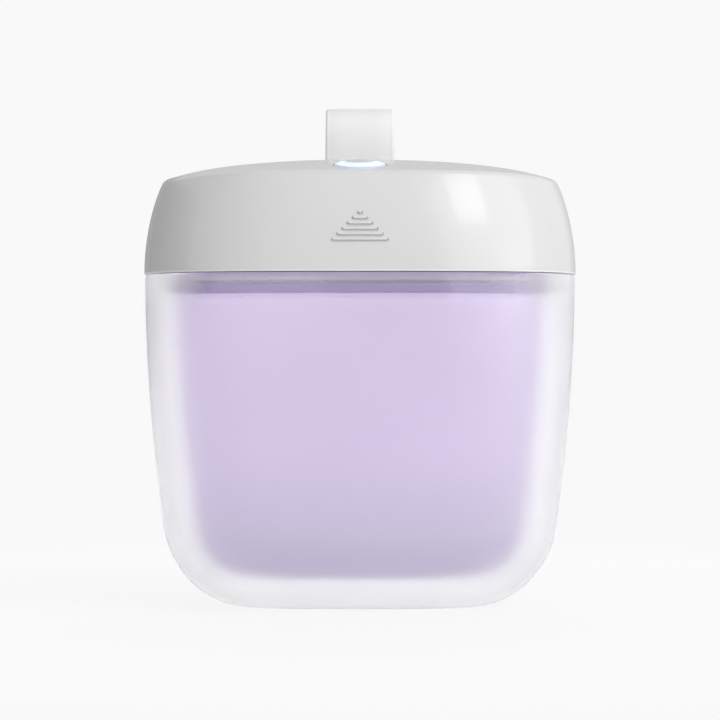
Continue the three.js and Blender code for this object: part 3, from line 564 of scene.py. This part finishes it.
def lid_cover():
    def outer_at(z):
        return ring_at(lid_side(z) - lid.wall - cover.clearance, z)
    rim_inner = flange_half - cover.rim_wall + case.fit
    edge = neck.edge
    rings = [outer_at(cover_rim_bottom + edge), outer_at(cover_top)]
    start = ring_at(outer_at(cover_rim_bottom)[0] - edge, cover_rim_bottom)
    inner = [ring_at(rim_inner + edge, cover_rim_bottom), ring_at(rim_inner, cover_rim_bottom + edge),
             ring_at(rim_inner, ceiling - edge), ring_at(rim_inner - edge, ceiling)]
    rings = floor_rings(rings[-1]) + rings[::-1] + [start] + inner + floor_rings(inner[-1])[::-1]
    piece = loft("lid_ceiling", rings)
    hole = rounded_rectangle(pane.width / 2 - pane.ledge, pane.depth / 2 - pane.ledge, pane.corner)
    seat = rounded_rectangle(pane.width / 2 + case.fit, pane.depth / 2 + case.fit, pane.corner)
    under, above = cover_rim_bottom - cut.overrun, cover_top + cut.overrun
    cutters = [
        prism("light_hole", hole, ceiling - cut.overrun, above),
        prism("pane_seat", seat, ceiling + pane.seat, above),
    ]
    head_height_share = 1.5
    for node in COVER_SCREWS:
        low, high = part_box(node)
        radius = (high.x - low.x) / 2
        head_top = low.z + head_height_share * radius
        cutters.append(prism("head_room", circle(radius + case.fit), under, head_top, "z", spot_of(node)))
    for node in ("lid_magnet_left", "lid_magnet_right"):
        low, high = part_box(node)
        half_x, half_y = (high.x - low.x) / 2 + case.fit, (high.y - low.y) / 2 + case.fit
        outline = rounded_rectangle(half_x, half_y, case.fit)
        cutters.append(prism("magnet_room", outline, under, high.z + case.fit, "z", spot_of(node)))
    for cutter in cutters:
        carve(piece, cutter)
    return piece


def seal_ring():
    inner = cup_mouth + case.fit / 2
    outer = inner + gasket.wall
    low = rise_top + case.fit
    high = low + gasket.thick
    edge = gasket.edge
    middle = (inner + outer) / 2
    return loft("seal_ring", [
        ring_at(inner, high), ring_at(inner, low + edge), ring_at(inner + edge / 3, low + edge / 3),
        ring_at(inner + edge, low), ring_at(middle, low - edge / 6), ring_at(outer - edge, low),
        ring_at(outer - edge / 3, low + edge / 3), ring_at(outer, low + edge), ring_at(outer, high),
    ], closed=True)


# Light ring and button, which follow the dome

def dome_plug(name, rows, closed):
    """Rows of (radius, height, whether the height is above the dome) turned about the button's axis."""
    steps = ROUND_STEPS * 2
    verts = []
    faces = []
    for radius, height, on_dome in rows:
        for x, y in circle(max(radius, cut.least_radius), steps):
            y += ring_y
            verts.append((x, y, dome_height(x, y) + height if on_dome else height))
    for k in range(len(rows) if closed else len(rows) - 1):
        low, high = k * steps, (k + 1) % len(rows) * steps
        faces += [(low + i, low + (i + 1) % steps, high + (i + 1) % steps, high + i) for i in range(steps)]
    if not closed:
        faces.append(tuple(range(steps)))
        faces.append(tuple(range(len(verts) - steps, len(verts))))
    return new_piece(name, verts, faces)


def glow_ring():
    ledge_top = collar_top + ring.ledge_thick + case.fit
    tube_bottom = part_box("light_ring")[0].z
    collar_bottom = collar_top - ring.collar_thick
    soft = ring.edge
    flank_share, foot_share = 0.62, 1.6
    return dome_plug("glow_ring", [
        (ring.inner, ring.proud - 2 * soft, True), (ring.inner + soft, ring.proud - soft / 2, True),
        (ring.bevel, ring.proud, True), ((ring.bevel + ring.outer) / 2, ring.proud * flank_share, True),
        (ring.outer - soft, soft * foot_share, True), (ring.outer, soft, True),
        (ring.outer, collar_top, False), (ring.collar, collar_top, False),
        (ring.collar, collar_bottom, False), (ring.outer, collar_bottom, False),
        (ring.outer, tube_bottom, False), (ring.inner, tube_bottom, False),
        (ring.inner, ledge_top - ring.ledge_thick, False), (ring.ledge, ledge_top - ring.ledge_thick, False),
        (ring.ledge, ledge_top, False), (ring.inner, ledge_top, False),
    ], closed=True)


def button_cap():
    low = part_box("power_button")[0].z
    skirt = collar_top + ring.ledge_thick + case.fit + button.radius / 5
    crown_shares = (0, 0.15, 0.3, 0.45, 0.6, 0.75, 0.87, 0.94)
    edge_shares = ((0.985, 0.95), (1, 0.7))
    rows = [(button.radius * share, button.proud + button.crown * (1 - share ** 2), True)
            for share in crown_shares]
    rows += [(button.radius * across, button.proud * up, True) for across, up in edge_shares]
    rows += [(button.radius, skirt, False), (button.stem, skirt, False), (button.stem, low, False)]
    return dome_plug("button_cap", rows, closed=False)


# Strap

def strap_line():
    """Centre line of the loop as (y, z) from the bar, round the bar, up, over the top and down."""
    root = bar.radius + case.fit + strap.thick / 2
    crown = strap.rise - strap.thick / 2
    belly = crown - strap.belly_shift
    foot_steps, leg_steps, top_steps = 17, 19, 33
    foot_angles = np.linspace(math.pi, 2 * math.pi, foot_steps)
    line = [(root * math.cos(a), root * math.sin(a)) for a in foot_angles]
    p0, p1 = np.array((root, 0)), np.array((root, strap.leg_pull))
    p2, p3 = np.array((strap.belly, belly - strap.leg_pull)), np.array((strap.belly, belly))
    leg = [tuple((1 - t) ** 3 * p0 + 3 * (1 - t) ** 2 * t * p1 + 3 * (1 - t) * t ** 2 * p2 + t ** 3 * p3)
           for t in np.linspace(0, 1, leg_steps)]
    line += leg[1:]
    line += [(strap.belly * math.cos(a), belly + strap.belly_shift * math.sin(a))
             for a in np.linspace(0, math.pi, top_steps)[1:-1]]
    line += [(-y, z) for y, z in leg[:0:-1]]
    return np.array(line)


def strap_loop():
    """A closed band along the line, with a fine moulded line near each edge."""
    line = strap_line()
    before, after = np.roll(line, 1, axis=0), np.roll(line, -1, axis=0)
    along = after - before
    along /= np.linalg.norm(along, axis=1)[:, None]
    out = np.stack([along[:, 1], -along[:, 0]], axis=1)
    half, thick = strap.width / 2, strap.thick / 2
    line_shares = [(0.87, 1.0), (0.90, 0.9), (0.93, 1.0)]
    top_side = [(-x, z) for x, z in line_shares[::-1]] + [(-0.5, 1.0), (0, 1.0), (0.5, 1.0)] + line_shares
    edge_start = 0.5
    edge_angles = np.linspace(edge_start, math.pi - edge_start, 6)
    round_edge = [(1 - (1 - math.sin(a)) * thick / half, math.cos(a)) for a in edge_angles]
    section = top_side + round_edge
    section += [(-x, -z) for x, z in section]
    verts = []
    for (y, z), (oy, oz) in zip(line, out):
        narrow = 1 - STRAP_TAPER_SHARE * max(0, z) / strap.rise
        for a, b in section:
            lift = b * thick * STRAP_THICK_SHARE
            verts.append((a * half * narrow, bar_y + y + oy * lift, bar_z + z + oz * lift))
    count = len(section)
    faces = []
    for k in range(len(line)):
        low, high = k * count, (k + 1) % len(line) * count
        faces += [(low + i, low + (i + 1) % count, high + (i + 1) % count, high + i) for i in range(count)]
    return new_piece("strap_loop", verts, faces)


# Materials

def shader(name, color, roughness, **sockets):
    """A material with one Principled node; sockets are named with underscores."""
    material = bpy.data.materials.new(name)
    material.use_nodes = True
    node = material.node_tree.nodes["Principled BSDF"]
    node.inputs["Base Color"].default_value = (*color, 1)
    node.inputs["Roughness"].default_value = roughness
    for key, value in sockets.items():
        node.inputs[key.replace("_", " ").title().replace("Ior", "IOR")].default_value = value
    return material, material.node_tree, node


def feed(tree, value, socket):
    """Sets a socket to a number, or links another node's output to it."""
    if isinstance(value, bpy.types.NodeSocket):
        tree.links.new(value, socket)
    else:
        socket.default_value = value


def maths(tree, operation, *values):
    """A Math node on values, each a number or another node's output."""
    node = tree.nodes.new("ShaderNodeMath")
    node.operation = operation
    for value, socket in zip(values, node.inputs):
        feed(tree, value, socket)
    return node.outputs["Value"]


def vector_maths(tree, operation, *values):
    node = tree.nodes.new("ShaderNodeVectorMath")
    node.operation = operation
    for value, socket in zip(values, node.inputs):
        feed(tree, value, socket)
    return node.outputs["Value" if operation == "LENGTH" else "Vector"]


def map_range(tree, source, from_low, from_high, to_low=0, to_high=1, smooth=False):
    """A value carried from one range to another and held at its ends."""
    node = tree.nodes.new("ShaderNodeMapRange")
    if smooth:
        node.interpolation_type = "SMOOTHSTEP"
    ends = {"From Min": from_low, "From Max": from_high, "To Min": to_low, "To Max": to_high}
    for name, value in ends.items():
        node.inputs[name].default_value = value
    tree.links.new(source, node.inputs["Value"])
    return node.outputs["Result"]


def place_on_piece(tree):
    return tree.nodes.new("ShaderNodeTexCoord").outputs["Object"]


def axes_of(tree, place):
    split = tree.nodes.new("ShaderNodeSeparateXYZ")
    tree.links.new(place, split.inputs["Vector"])
    return split.outputs


def height_share(tree, low, high):
    """0 at the low height and 1 at the high one, fixed to the piece."""
    return map_range(tree, axes_of(tree, place_on_piece(tree))["Z"], low, high)


def noise(tree, scale, detail=3):
    """Noise fixed to the piece, not to the view."""
    grain = tree.nodes.new("ShaderNodeTexNoise")
    grain.inputs["Scale"].default_value = scale
    grain.inputs["Detail"].default_value = detail
    tree.links.new(place_on_piece(tree), grain.inputs["Vector"])
    return grain.outputs["Fac"]


def ramp(tree, source, stops):
    """A colour ramp of (place, colour) stops."""
    node = tree.nodes.new("ShaderNodeValToRGB")
    tree.links.new(source, node.inputs["Fac"])
    stops_in = node.color_ramp.elements
    while len(stops_in) < len(stops):
        stops_in.new(0.5)
    for stop, (place, color) in zip(stops_in, stops):
        stop.position = place
        stop.color = (*color, 1)
    return node.outputs["Color"]


def mixed(tree, share, first, second, blend="MIX"):
    """Two colours mixed by a share, which is a number or another node's output."""
    mix = tree.nodes.new("ShaderNodeMix")
    mix.data_type = "RGBA"
    mix.blend_type = blend
    feed(tree, share, mix.inputs["Factor"])
    tree.links.new(first, mix.inputs["A"])
    tree.links.new(second, mix.inputs["B"])
    return mix.outputs["Result"]


def multiplied(tree, first, second):
    return mixed(tree, 1, first, second, "MULTIPLY")


def uneven(tree, low, high, scale=160, detail=4):
    """A value that wanders between two numbers over the piece."""
    return map_range(tree, noise(tree, scale, detail), NOISE_LOW, NOISE_HIGH, low, high)


def drifting(tree, low, high, scale=45):
    """A colour that drifts between two tints over the piece."""
    return ramp(tree, noise(tree, scale, 2), [(NOISE_LOW, low), (NOISE_HIGH, high)])


def bumps(tree, node, source, strength, distance):
    bump = tree.nodes.new("ShaderNodeBump")
    bump.inputs["Strength"].default_value = strength
    bump.inputs["Distance"].default_value = distance
    tree.links.new(source, bump.inputs["Height"])
    tree.links.new(bump.outputs["Normal"], node.inputs["Normal"])


def tinted(color, change):
    return tuple(max(0.0, min(1.0, c * (1 + change))) for c in color)


def grey(level):
    return (level, level, level)


def moulded(name, color, roughness, vary=0.02, grain=700, bump=0.05, **sockets):
    """Moulded plastic or rubber: faint drift of tint, uneven gloss and a fine skin."""
    smoother_share, rougher_share = 0.88, 1.14
    material, tree, node = shader(name, color, roughness, **sockets)
    tree.links.new(drifting(tree, tinted(color, -vary), tinted(color, vary)), node.inputs["Base Color"])
    gloss = uneven(tree, roughness * smoother_share, roughness * rougher_share)
    tree.links.new(gloss, node.inputs["Roughness"])
    bumps(tree, node, noise(tree, grain), strength=bump, distance=0.00012)
    return material


def glow(tree, node, color_source, strength):
    tree.links.new(color_source, node.inputs["Emission Color"])
    node.inputs["Emission Strength"].default_value = strength


def clear_speckle(tree):
    """1 on the clear strip in front of the neck, 0 on the frosted wall and round the corners.

    Fine speckles of both fill the fade between them."""
    place = place_on_piece(tree)
    axes = axes_of(tree, place)
    strip_bottom = case.split - shell.clear_drop
    across = map_range(tree, maths(tree, "ABSOLUTE", axes["X"]), shell.clear_half + shell.clear_fade,
                       shell.clear_half, smooth=True)
    up = map_range(tree, axes["Z"], strip_bottom - shell.clear_fade / 4, strip_bottom, smooth=True)
    speckle = tree.nodes.new("ShaderNodeTexWhiteNoise")
    tree.links.new(place, speckle.inputs["Vector"])
    return maths(tree, "GREATER_THAN", maths(tree, "MULTIPLY", across, up), speckle.outputs["Value"])


def lid_plastic():
    """Glossy white, with a painted highlight along its thin lower lip."""
    color, lip_highlight_share = (0.72, 0.72, 0.725), 0.24
    material = moulded("lid_white", tinted(color, lip_highlight_share), roughness=0.24, vary=0.006, grain=900,
                       bump=0.03, coat_weight=0.35, coat_roughness=0.05, specular_ior_level=0.4)
    tree = material.node_tree
    base = tree.nodes["Principled BSDF"].inputs["Base Color"]
    above_lip_highlight = ramp(tree, height_share(tree, lid_bottom, lid_bottom + 2 * lid.lip),
                     [(0.4, grey(1)), (0.6, grey(1 / (1 + lip_highlight_share)))])
    tree.links.new(multiplied(tree, base.links[0].from_socket, above_lip_highlight), base)
    return material


def milky():
    """Milky see-through plastic with a clear gloss skin and a faint painted glow, as if lit from within."""
    color = (0.96, 0.96, 0.975)
    material, tree, node = shader("milky_shell", color, 0.3, transmission_weight=0.93, coat_weight=0.2,
                                  coat_roughness=0.06, ior=1.36)
    height = height_share(tree, 0, case.split)
    drift = drifting(tree, tinted(color, -0.012), tinted(color, 0.012), scale=60)
    # Base colour a little darker in a band low on the shell
    levels = ((0.0, 1.0), (0.045, 0.985), (0.09, 0.962), (0.14, 0.965), (0.22, 0.99), (0.30, 1.0))
    low_band_tone = ramp(tree, height, [(place, grey(level)) for place, level in levels])
    tree.links.new(multiplied(tree, drift, low_band_tone), node.inputs["Base Color"])
    clear = clear_speckle(tree)
    frost = maths(tree, "MULTIPLY_ADD", clear, CLEAR_FROST_SHARE - 1, 1)
    roughness = uneven(tree, 0.285, 0.33, scale=220, detail=3)
    tree.links.new(maths(tree, "MULTIPLY", roughness, frost), node.inputs["Roughness"])
    # Painted glow, as if light scattered in the milky wall: brighter near the floor and at the rim; on the
    # clear strip it is dim lilac low down and turns grey near the rim
    painted_glow_by_height = [(0.0, (0.84, 0.86, 0.80)), (0.10, (0.62, 0.62, 0.60)), (0.24, (0.54, 0.56, 0.51)),
            (0.90, (0.38, 0.40, 0.35)), (0.955, (0.66, 0.68, 0.62)), (0.998, (1.0, 1.0, 0.97))]
    strip = [(0.972, (0.29, 0.24, 0.41)), (0.976, (0.58, 0.57, 0.60))]
    glow(tree, node, mixed(tree, clear, ramp(tree, height, painted_glow_by_height), ramp(tree, height, strip)), strength=0.105)
    bumps(tree, node, noise(tree, 500, 2), strength=0.02, distance=0.0001)
    return material


def lilac():
    """Milky cup with a painted lilac glow, as if lit by the lamp over it, and painted shade that deepens
    towards the bottom.
    """
    low, mid, high = (0.26, 0.21, 0.38), (0.50, 0.38, 0.65), (0.52, 0.40, 0.66)
    middle_share = 0.42
    material, tree, node = shader("lilac_cup", mid, 0.4)
    height = height_share(tree, cup.stand, case.split)
    plain = [(0.0, tinted(low, -0.6)), (middle_share, tinted(mid, -0.75)), (1.0, tinted(high, -0.75))]
    tree.links.new(ramp(tree, height, plain), node.inputs["Base Color"])
    tree.links.new(uneven(tree, 0.36, 0.46, scale=150, detail=3), node.inputs["Roughness"])
    glow(tree, node, ramp(tree, height, [(0.0, low), (middle_share, mid), (1.0, high)]), strength=0.75)
    return material


def frosted_glow():
    """Frosted ring, cyan white where the light comes through and violet at its outer flank."""
    material, tree, node = shader("ring_glow", (0.5, 0.56, 0.62), 0.4)
    color = ramp(tree, from_axis(tree, ring_y, ring.inner, ring.outer), [
        (0.0, (0.62, 0.86, 0.98)), (0.25, (0.80, 1.0, 0.99)), (0.52, (0.66, 0.94, 0.98)),
        (0.75, (0.50, 0.62, 0.88)), (1.0, (0.46, 0.46, 0.64))])
    tree.links.new(color, node.inputs["Base Color"])
    tree.links.new(uneven(tree, 0.36, 0.46, scale=400, detail=3), node.inputs["Roughness"])
    glow(tree, node, color, strength=0.5)
    return material


def from_axis(tree, y, low, high):
    """0 at the low radius and 1 at the high one, round an upright axis at y."""
    flat = vector_maths(tree, "MULTIPLY_ADD", place_on_piece(tree), (1, 1, 0), (0, -y, 0))
    return map_range(tree, vector_maths(tree, "LENGTH", flat), low, high)


def button_plastic():
    """Grey button whose rim the ring's light soaks into."""
    plain, rim_color, lit = (0.66, 0.66, 0.68), (0.6, 0.7, 0.74), (0.80, 0.98, 0.99)
    material, tree, node = shader("button_grey", plain, 0.35)
    inner_share, outer_share = 0.72, 0.96
    rim = from_axis(tree, ring_y + button.lit_shift, button.radius * inner_share, button.radius * outer_share)
    tree.links.new(ramp(tree, rim, [(0.0, plain), (1.0, rim_color)]), node.inputs["Base Color"])
    tree.links.new(uneven(tree, 0.31, 0.40), node.inputs["Roughness"])
    light = ramp(tree, rim, [(0.0, grey(0)), (0.45, tinted(lit, -0.6)), (1.0, lit)])
    glow(tree, node, light, strength=0.45)
    bumps(tree, node, noise(tree, 700), strength=0.05, distance=0.00012)
    return material


def strap_rubber():
    """Soft pale grey silicone with painted light: lighter near its foot, where the lid's white shines into
    it, and again towards its top.
    """
    material, tree, node = shader("strap_grey", (0.80, 0.80, 0.80), 0.6)
    foot_share, top_share = 0.1, 0.95
    height = height_share(tree, bar_z + strap.rise * foot_share, bar_z + strap.rise * top_share)
    levels = ((0.0, 0.94), (0.45, 0.825), (0.75, 0.825), (1.0, 0.92))
    shaded = ramp(tree, height, [(place, grey(level)) for place, level in levels])
    tree.links.new(multiplied(tree, shaded, drifting(tree, grey(0.98), grey(1))), node.inputs["Base Color"])
    tree.links.new(uneven(tree, 0.54, 0.70), node.inputs["Roughness"])
    bumps(tree, node, noise(tree, 2600), strength=0.06, distance=0.0001)
    return material


def neck_plastic():
    """Lilac plastic of the neck ring, with painted shade in its groove and under its flange, painted light
    towards the flange's top, and a faint painted glow.
    """
    skirt, bead, painted_shade, top = (0.15, 0.09, 0.26), (0.22, 0.165, 0.35), (0.05, 0.03, 0.09), (0.56, 0.47, 0.70)
    material, tree, node = shader("neck_lilac", bead, 0.45)
    low = neck_seat - neck.skirt_drop
    groove_top = neck_seat - neck.bead
    soft = neck.edge / 2
    places = [(groove_top - neck.groove - soft, skirt), (groove_top - neck.groove, painted_shade), (groove_top, painted_shade),
              (groove_top + soft, bead), (neck_seat - soft, bead), (neck_seat, painted_shade),
              (neck_seat + soft, bead), (neck_seat + neck.flange - soft, top)]
    stops = [((z - low) / (rise_top - low), color) for z, color in places]
    color = ramp(tree, height_share(tree, low, rise_top), stops)
    tree.links.new(color, node.inputs["Base Color"])
    tree.links.new(uneven(tree, 0.4, 0.52, detail=3), node.inputs["Roughness"])
    glow(tree, node, color, strength=0.1)
    bumps(tree, node, noise(tree, 700), strength=0.05, distance=0.0001)
    return material


# The numbers of moulded are roughness, drift of tint, fineness of the skin and its strength
materials = {
    "lid_white": lid_plastic(),
    "cover_white": moulded("cover_white", (0.76, 0.76, 0.77), 0.32, 0.01),
    "milky_shell": milky(),
    "lilac_cup": lilac(),
    "neck_lilac": neck_plastic(),
    "ring_glow": frosted_glow(),
    "button_grey": button_plastic(),
    "strap_grey": strap_rubber(),
    "silicone": moulded("silicone", (0.70, 0.70, 0.71), 0.6, 0.02, 1200, 0.1),
    "quartz": moulded("quartz", (0.93, 0.95, 1.0), 0.06, 0.005, 400, 0.01, transmission_weight=0.9),
    "steel": moulded("steel", (0.55, 0.55, 0.57), 0.3, 0.05, 1500, 0.1, metallic=1.0),
    "magnet": moulded("magnet", (0.62, 0.62, 0.62), 0.22, 0.03, 900, 0.06, metallic=1.0),
    "lamp_board": moulded("lamp_board", (0.78, 0.79, 0.80), 0.4, 0.02),
    "led_body": moulded("led_body", (0.80, 0.74, 0.55), 0.45, 0.03),
    "board_green": moulded("board_green", (0.03, 0.16, 0.07), 0.35, 0.15, 1600, 0.2),
    "black_plastic": moulded("black_plastic", (0.02, 0.02, 0.022), 0.4, 0.1),
    "cell": moulded("cell", (0.45, 0.46, 0.49), 0.35, 0.05, 600, 0.15, metallic=0.6),
}


def dress(piece, slot):
    piece.data.materials.clear()
    piece.data.materials.append(materials[slot])


def add(piece, body, slot, *nodes):
    dress(piece, slot)
    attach(piece, body)
    if nodes:
        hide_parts(*nodes)
    return piece


add(base_shell(), "base", "milky_shell", "base_shell")
add(inner_cup(), "base", "lilac_cup", "inner_cup")
add(neck_band(), "base", "neck_lilac", "neck_ring")
add(lid_shell(), "lid", "lid_white", "lid_shell")
add(lid_cover(), "lid", "cover_white", "lid_cover")
add(seal_ring(), "lid", "silicone", "lid_gasket")
add(glow_ring(), "lid", "ring_glow", "light_ring")
add(button_cap(), "power_button", "button_grey", "power_button")
add(strap_loop(), "strap", "strap_grey", "strap")
add(charge_socket(), "lid", "steel", "usb_port")
add(socket_tongue(), "lid", "black_plastic")
add(socket_contacts(), "lid", "steel")

slots = {entry["node"]: entry["material_slot"] for entry in frame["record"]["subparts"]}
for name, node in frame["nodes"].items():
    if not node.hide_render:
        for k in range(len(node.material_slots)):
            node.material_slots[k].material = materials[slots[name]]


# Floor, light and camera

BACKDROP = grey(0.947)
LAMP_AIM_HEIGHT = 0.05


def blended(tree, share, first, second):
    """Output of two shader nodes blended by a share."""
    blend = tree.nodes.new("ShaderNodeMixShader")
    for source, socket in zip((share, first.outputs[0], second.outputs[0]), blend.inputs):
        tree.links.new(source, socket)
    return blend.outputs[0]


def plain_light(tree, color):
    node = tree.nodes.new("ShaderNodeEmission")
    node.inputs["Color"].default_value = (*color, 1)
    return node


def seen_directly(tree):
    """1 for rays from the camera, or by way of gloss or glass."""
    path = tree.nodes.new("ShaderNodeLightPath")
    gloss = maths(tree, "MAXIMUM", path.outputs["Is Camera Ray"], path.outputs["Is Glossy Ray"])
    return maths(tree, "MAXIMUM", gloss, path.outputs["Is Transmission Ray"])


def backdrop_world():
    """Backdrop colour where the world is seen, and an even light, a little stronger low down, elsewhere."""
    world = bpy.data.worlds.new("studio")
    bpy.context.scene.world = world
    world.use_nodes = True
    tree = world.node_tree
    light = tree.nodes["Background"]
    light.inputs["Color"].default_value = (*grey(1), 1)
    low_light, high_light, high_up = 0.345, 0.29, 0.8
    upward = axes_of(tree, tree.nodes.new("ShaderNodeTexCoord").outputs["Generated"])["Z"]
    tree.links.new(map_range(tree, upward, 0, high_up, low_light, high_light), light.inputs["Strength"])
    seen = tree.nodes.new("ShaderNodeBackground")
    seen.inputs["Color"].default_value = (*BACKDROP, 1)
    seen.inputs["Strength"].default_value = 1
    surface = blended(tree, seen_directly(tree), light, seen)
    tree.links.new(surface, tree.nodes["World Output"].inputs["Surface"])


def soft_box(name, azimuth, elevation, distance, width, height, radiance, mirrored=True, through=True):
    """A rectangular lamp; azimuth 0 is in front, 90 to the right. One that isn't mirrored is only a fill."""
    lamp = bpy.data.lights.new(name, "AREA")
    lamp.shape = "RECTANGLE"
    lamp.size, lamp.size_y = width, height
    lamp.energy = radiance * math.pi * width * height
    holder = placed(name, lamp)
    a, e = math.radians(azimuth), math.radians(elevation)
    direction = Vector((math.sin(a) * math.cos(e), -math.cos(a) * math.cos(e), math.sin(e)))
    holder.location = Vector((0, 0, LAMP_AIM_HEIGHT)) + direction * distance
    holder.rotation_mode = "QUATERNION"
    holder.rotation_quaternion = direction.to_track_quat("Z", "Y")
    holder.visible_camera = False
    holder.visible_glossy = mirrored
    holder.visible_transmission = through


def floor():
    """Pale floor that keeps the object's shadow, and turns into plain backdrop further off."""
    half, under = 4.0, -0.0001
    near, far = 0.07, 0.30
    near_share, near_strength = 0.75, 1.19
    corners = [(-half, -half, under), (half, -half, under), (half, half, under), (-half, half, under)]
    piece = new_piece("floor", corners, [(0, 1, 2, 3)])
    material, tree, node = shader("floor", grey(0.5), 0.9)
    plain = plain_light(tree, BACKDROP)
    away = vector_maths(tree, "LENGTH", place_on_piece(tree))
    plain_share = map_range(tree, away, near, far, near_share, 1, smooth=True)
    tree.links.new(map_range(tree, plain_share, near_share, 1, near_strength, 1), plain.inputs["Strength"])
    share = maths(tree, "MULTIPLY", seen_directly(tree), plain_share)
    tree.links.new(blended(tree, share, node, plain), tree.nodes["Material Output"].inputs["Surface"])
    piece.data.materials.append(material)


def edge_card(name, line, high, level):
    """Upright grey card along a line on the floor, seen only in gloss, that gives the white lid its edges."""
    corners = [(x, y, z) for z in (0, high) for x, y in line]
    piece = new_piece(name, corners, [(0, 1, 3, 2)])
    material = bpy.data.materials.new(name)
    material.use_nodes = True
    tree = material.node_tree
    plain = plain_light(tree, grey(level))
    tree.links.new(plain.outputs[0], tree.nodes["Material Output"].inputs["Surface"])
    piece.data.materials.append(material)
    for kind in ("camera", "diffuse", "transmission", "shadow", "volume_scatter"):
        setattr(piece, f"visible_{kind}", False)


def camera():
    distance, height = 0.8, 0.0548
    focal_pixels, frame_pixels, horizon = 3564, 720, 358
    data = bpy.data.cameras.new("camera")
    data.sensor_width = 36
    data.lens = data.sensor_width * focal_pixels / frame_pixels
    data.shift_y = (horizon - frame_pixels / 2) / frame_pixels
    data.clip_start, data.clip_end = 0.05, 20
    holder = placed("camera", data)
    holder.location = (0, -distance, height)
    holder.rotation_euler = (math.pi / 2, 0, 0)
    bpy.context.scene.camera = holder


backdrop_world()
soft_box("key", azimuth=34, elevation=34, distance=1.2, width=0.36, height=0.40, radiance=3.6)
soft_box("side", azimuth=50, elevation=20, distance=1.6, width=2.0, height=1.6, radiance=1.4)
fill = {"distance": 1.5, "mirrored": False}
soft_box("right_strip", azimuth=65, elevation=7, width=0.9, height=0.3, radiance=5.8, **fill)
soft_box("front_strip", azimuth=-32, elevation=6, width=1.6, height=0.3, radiance=3.2, **fill)
soft_box("back", azimuth=180, elevation=8, width=1.2, height=1.2, radiance=1.4, **fill)
soft_box("rear_fill", azimuth=180, elevation=30, width=1.4, height=0.6, radiance=1.6, through=False, **fill)
soft_box("overhead", azimuth=0, elevation=88, width=0.9, height=0.9, radiance=0.8, through=False, **fill)
floor()
card = SimpleNamespace(side=0.9, middle=0.25, front=-0.15, back=1.6, low=0.6, high=0.9)
edge_card("left_card", [(-card.side, card.front), (-card.side, card.back)], card.low, level=0.33)
edge_card("back_card_left", [(-card.side, card.back), (-card.middle, card.back)], card.high, level=0.40)
edge_card("back_card", [(-card.middle, card.back), (card.middle, card.back)], card.high, level=0.62)
edge_card("back_card_right", [(card.middle, card.back), (card.side, card.back)], card.high, level=0.58)
camera()
bpy.context.scene.view_settings.view_transform = "Standard"
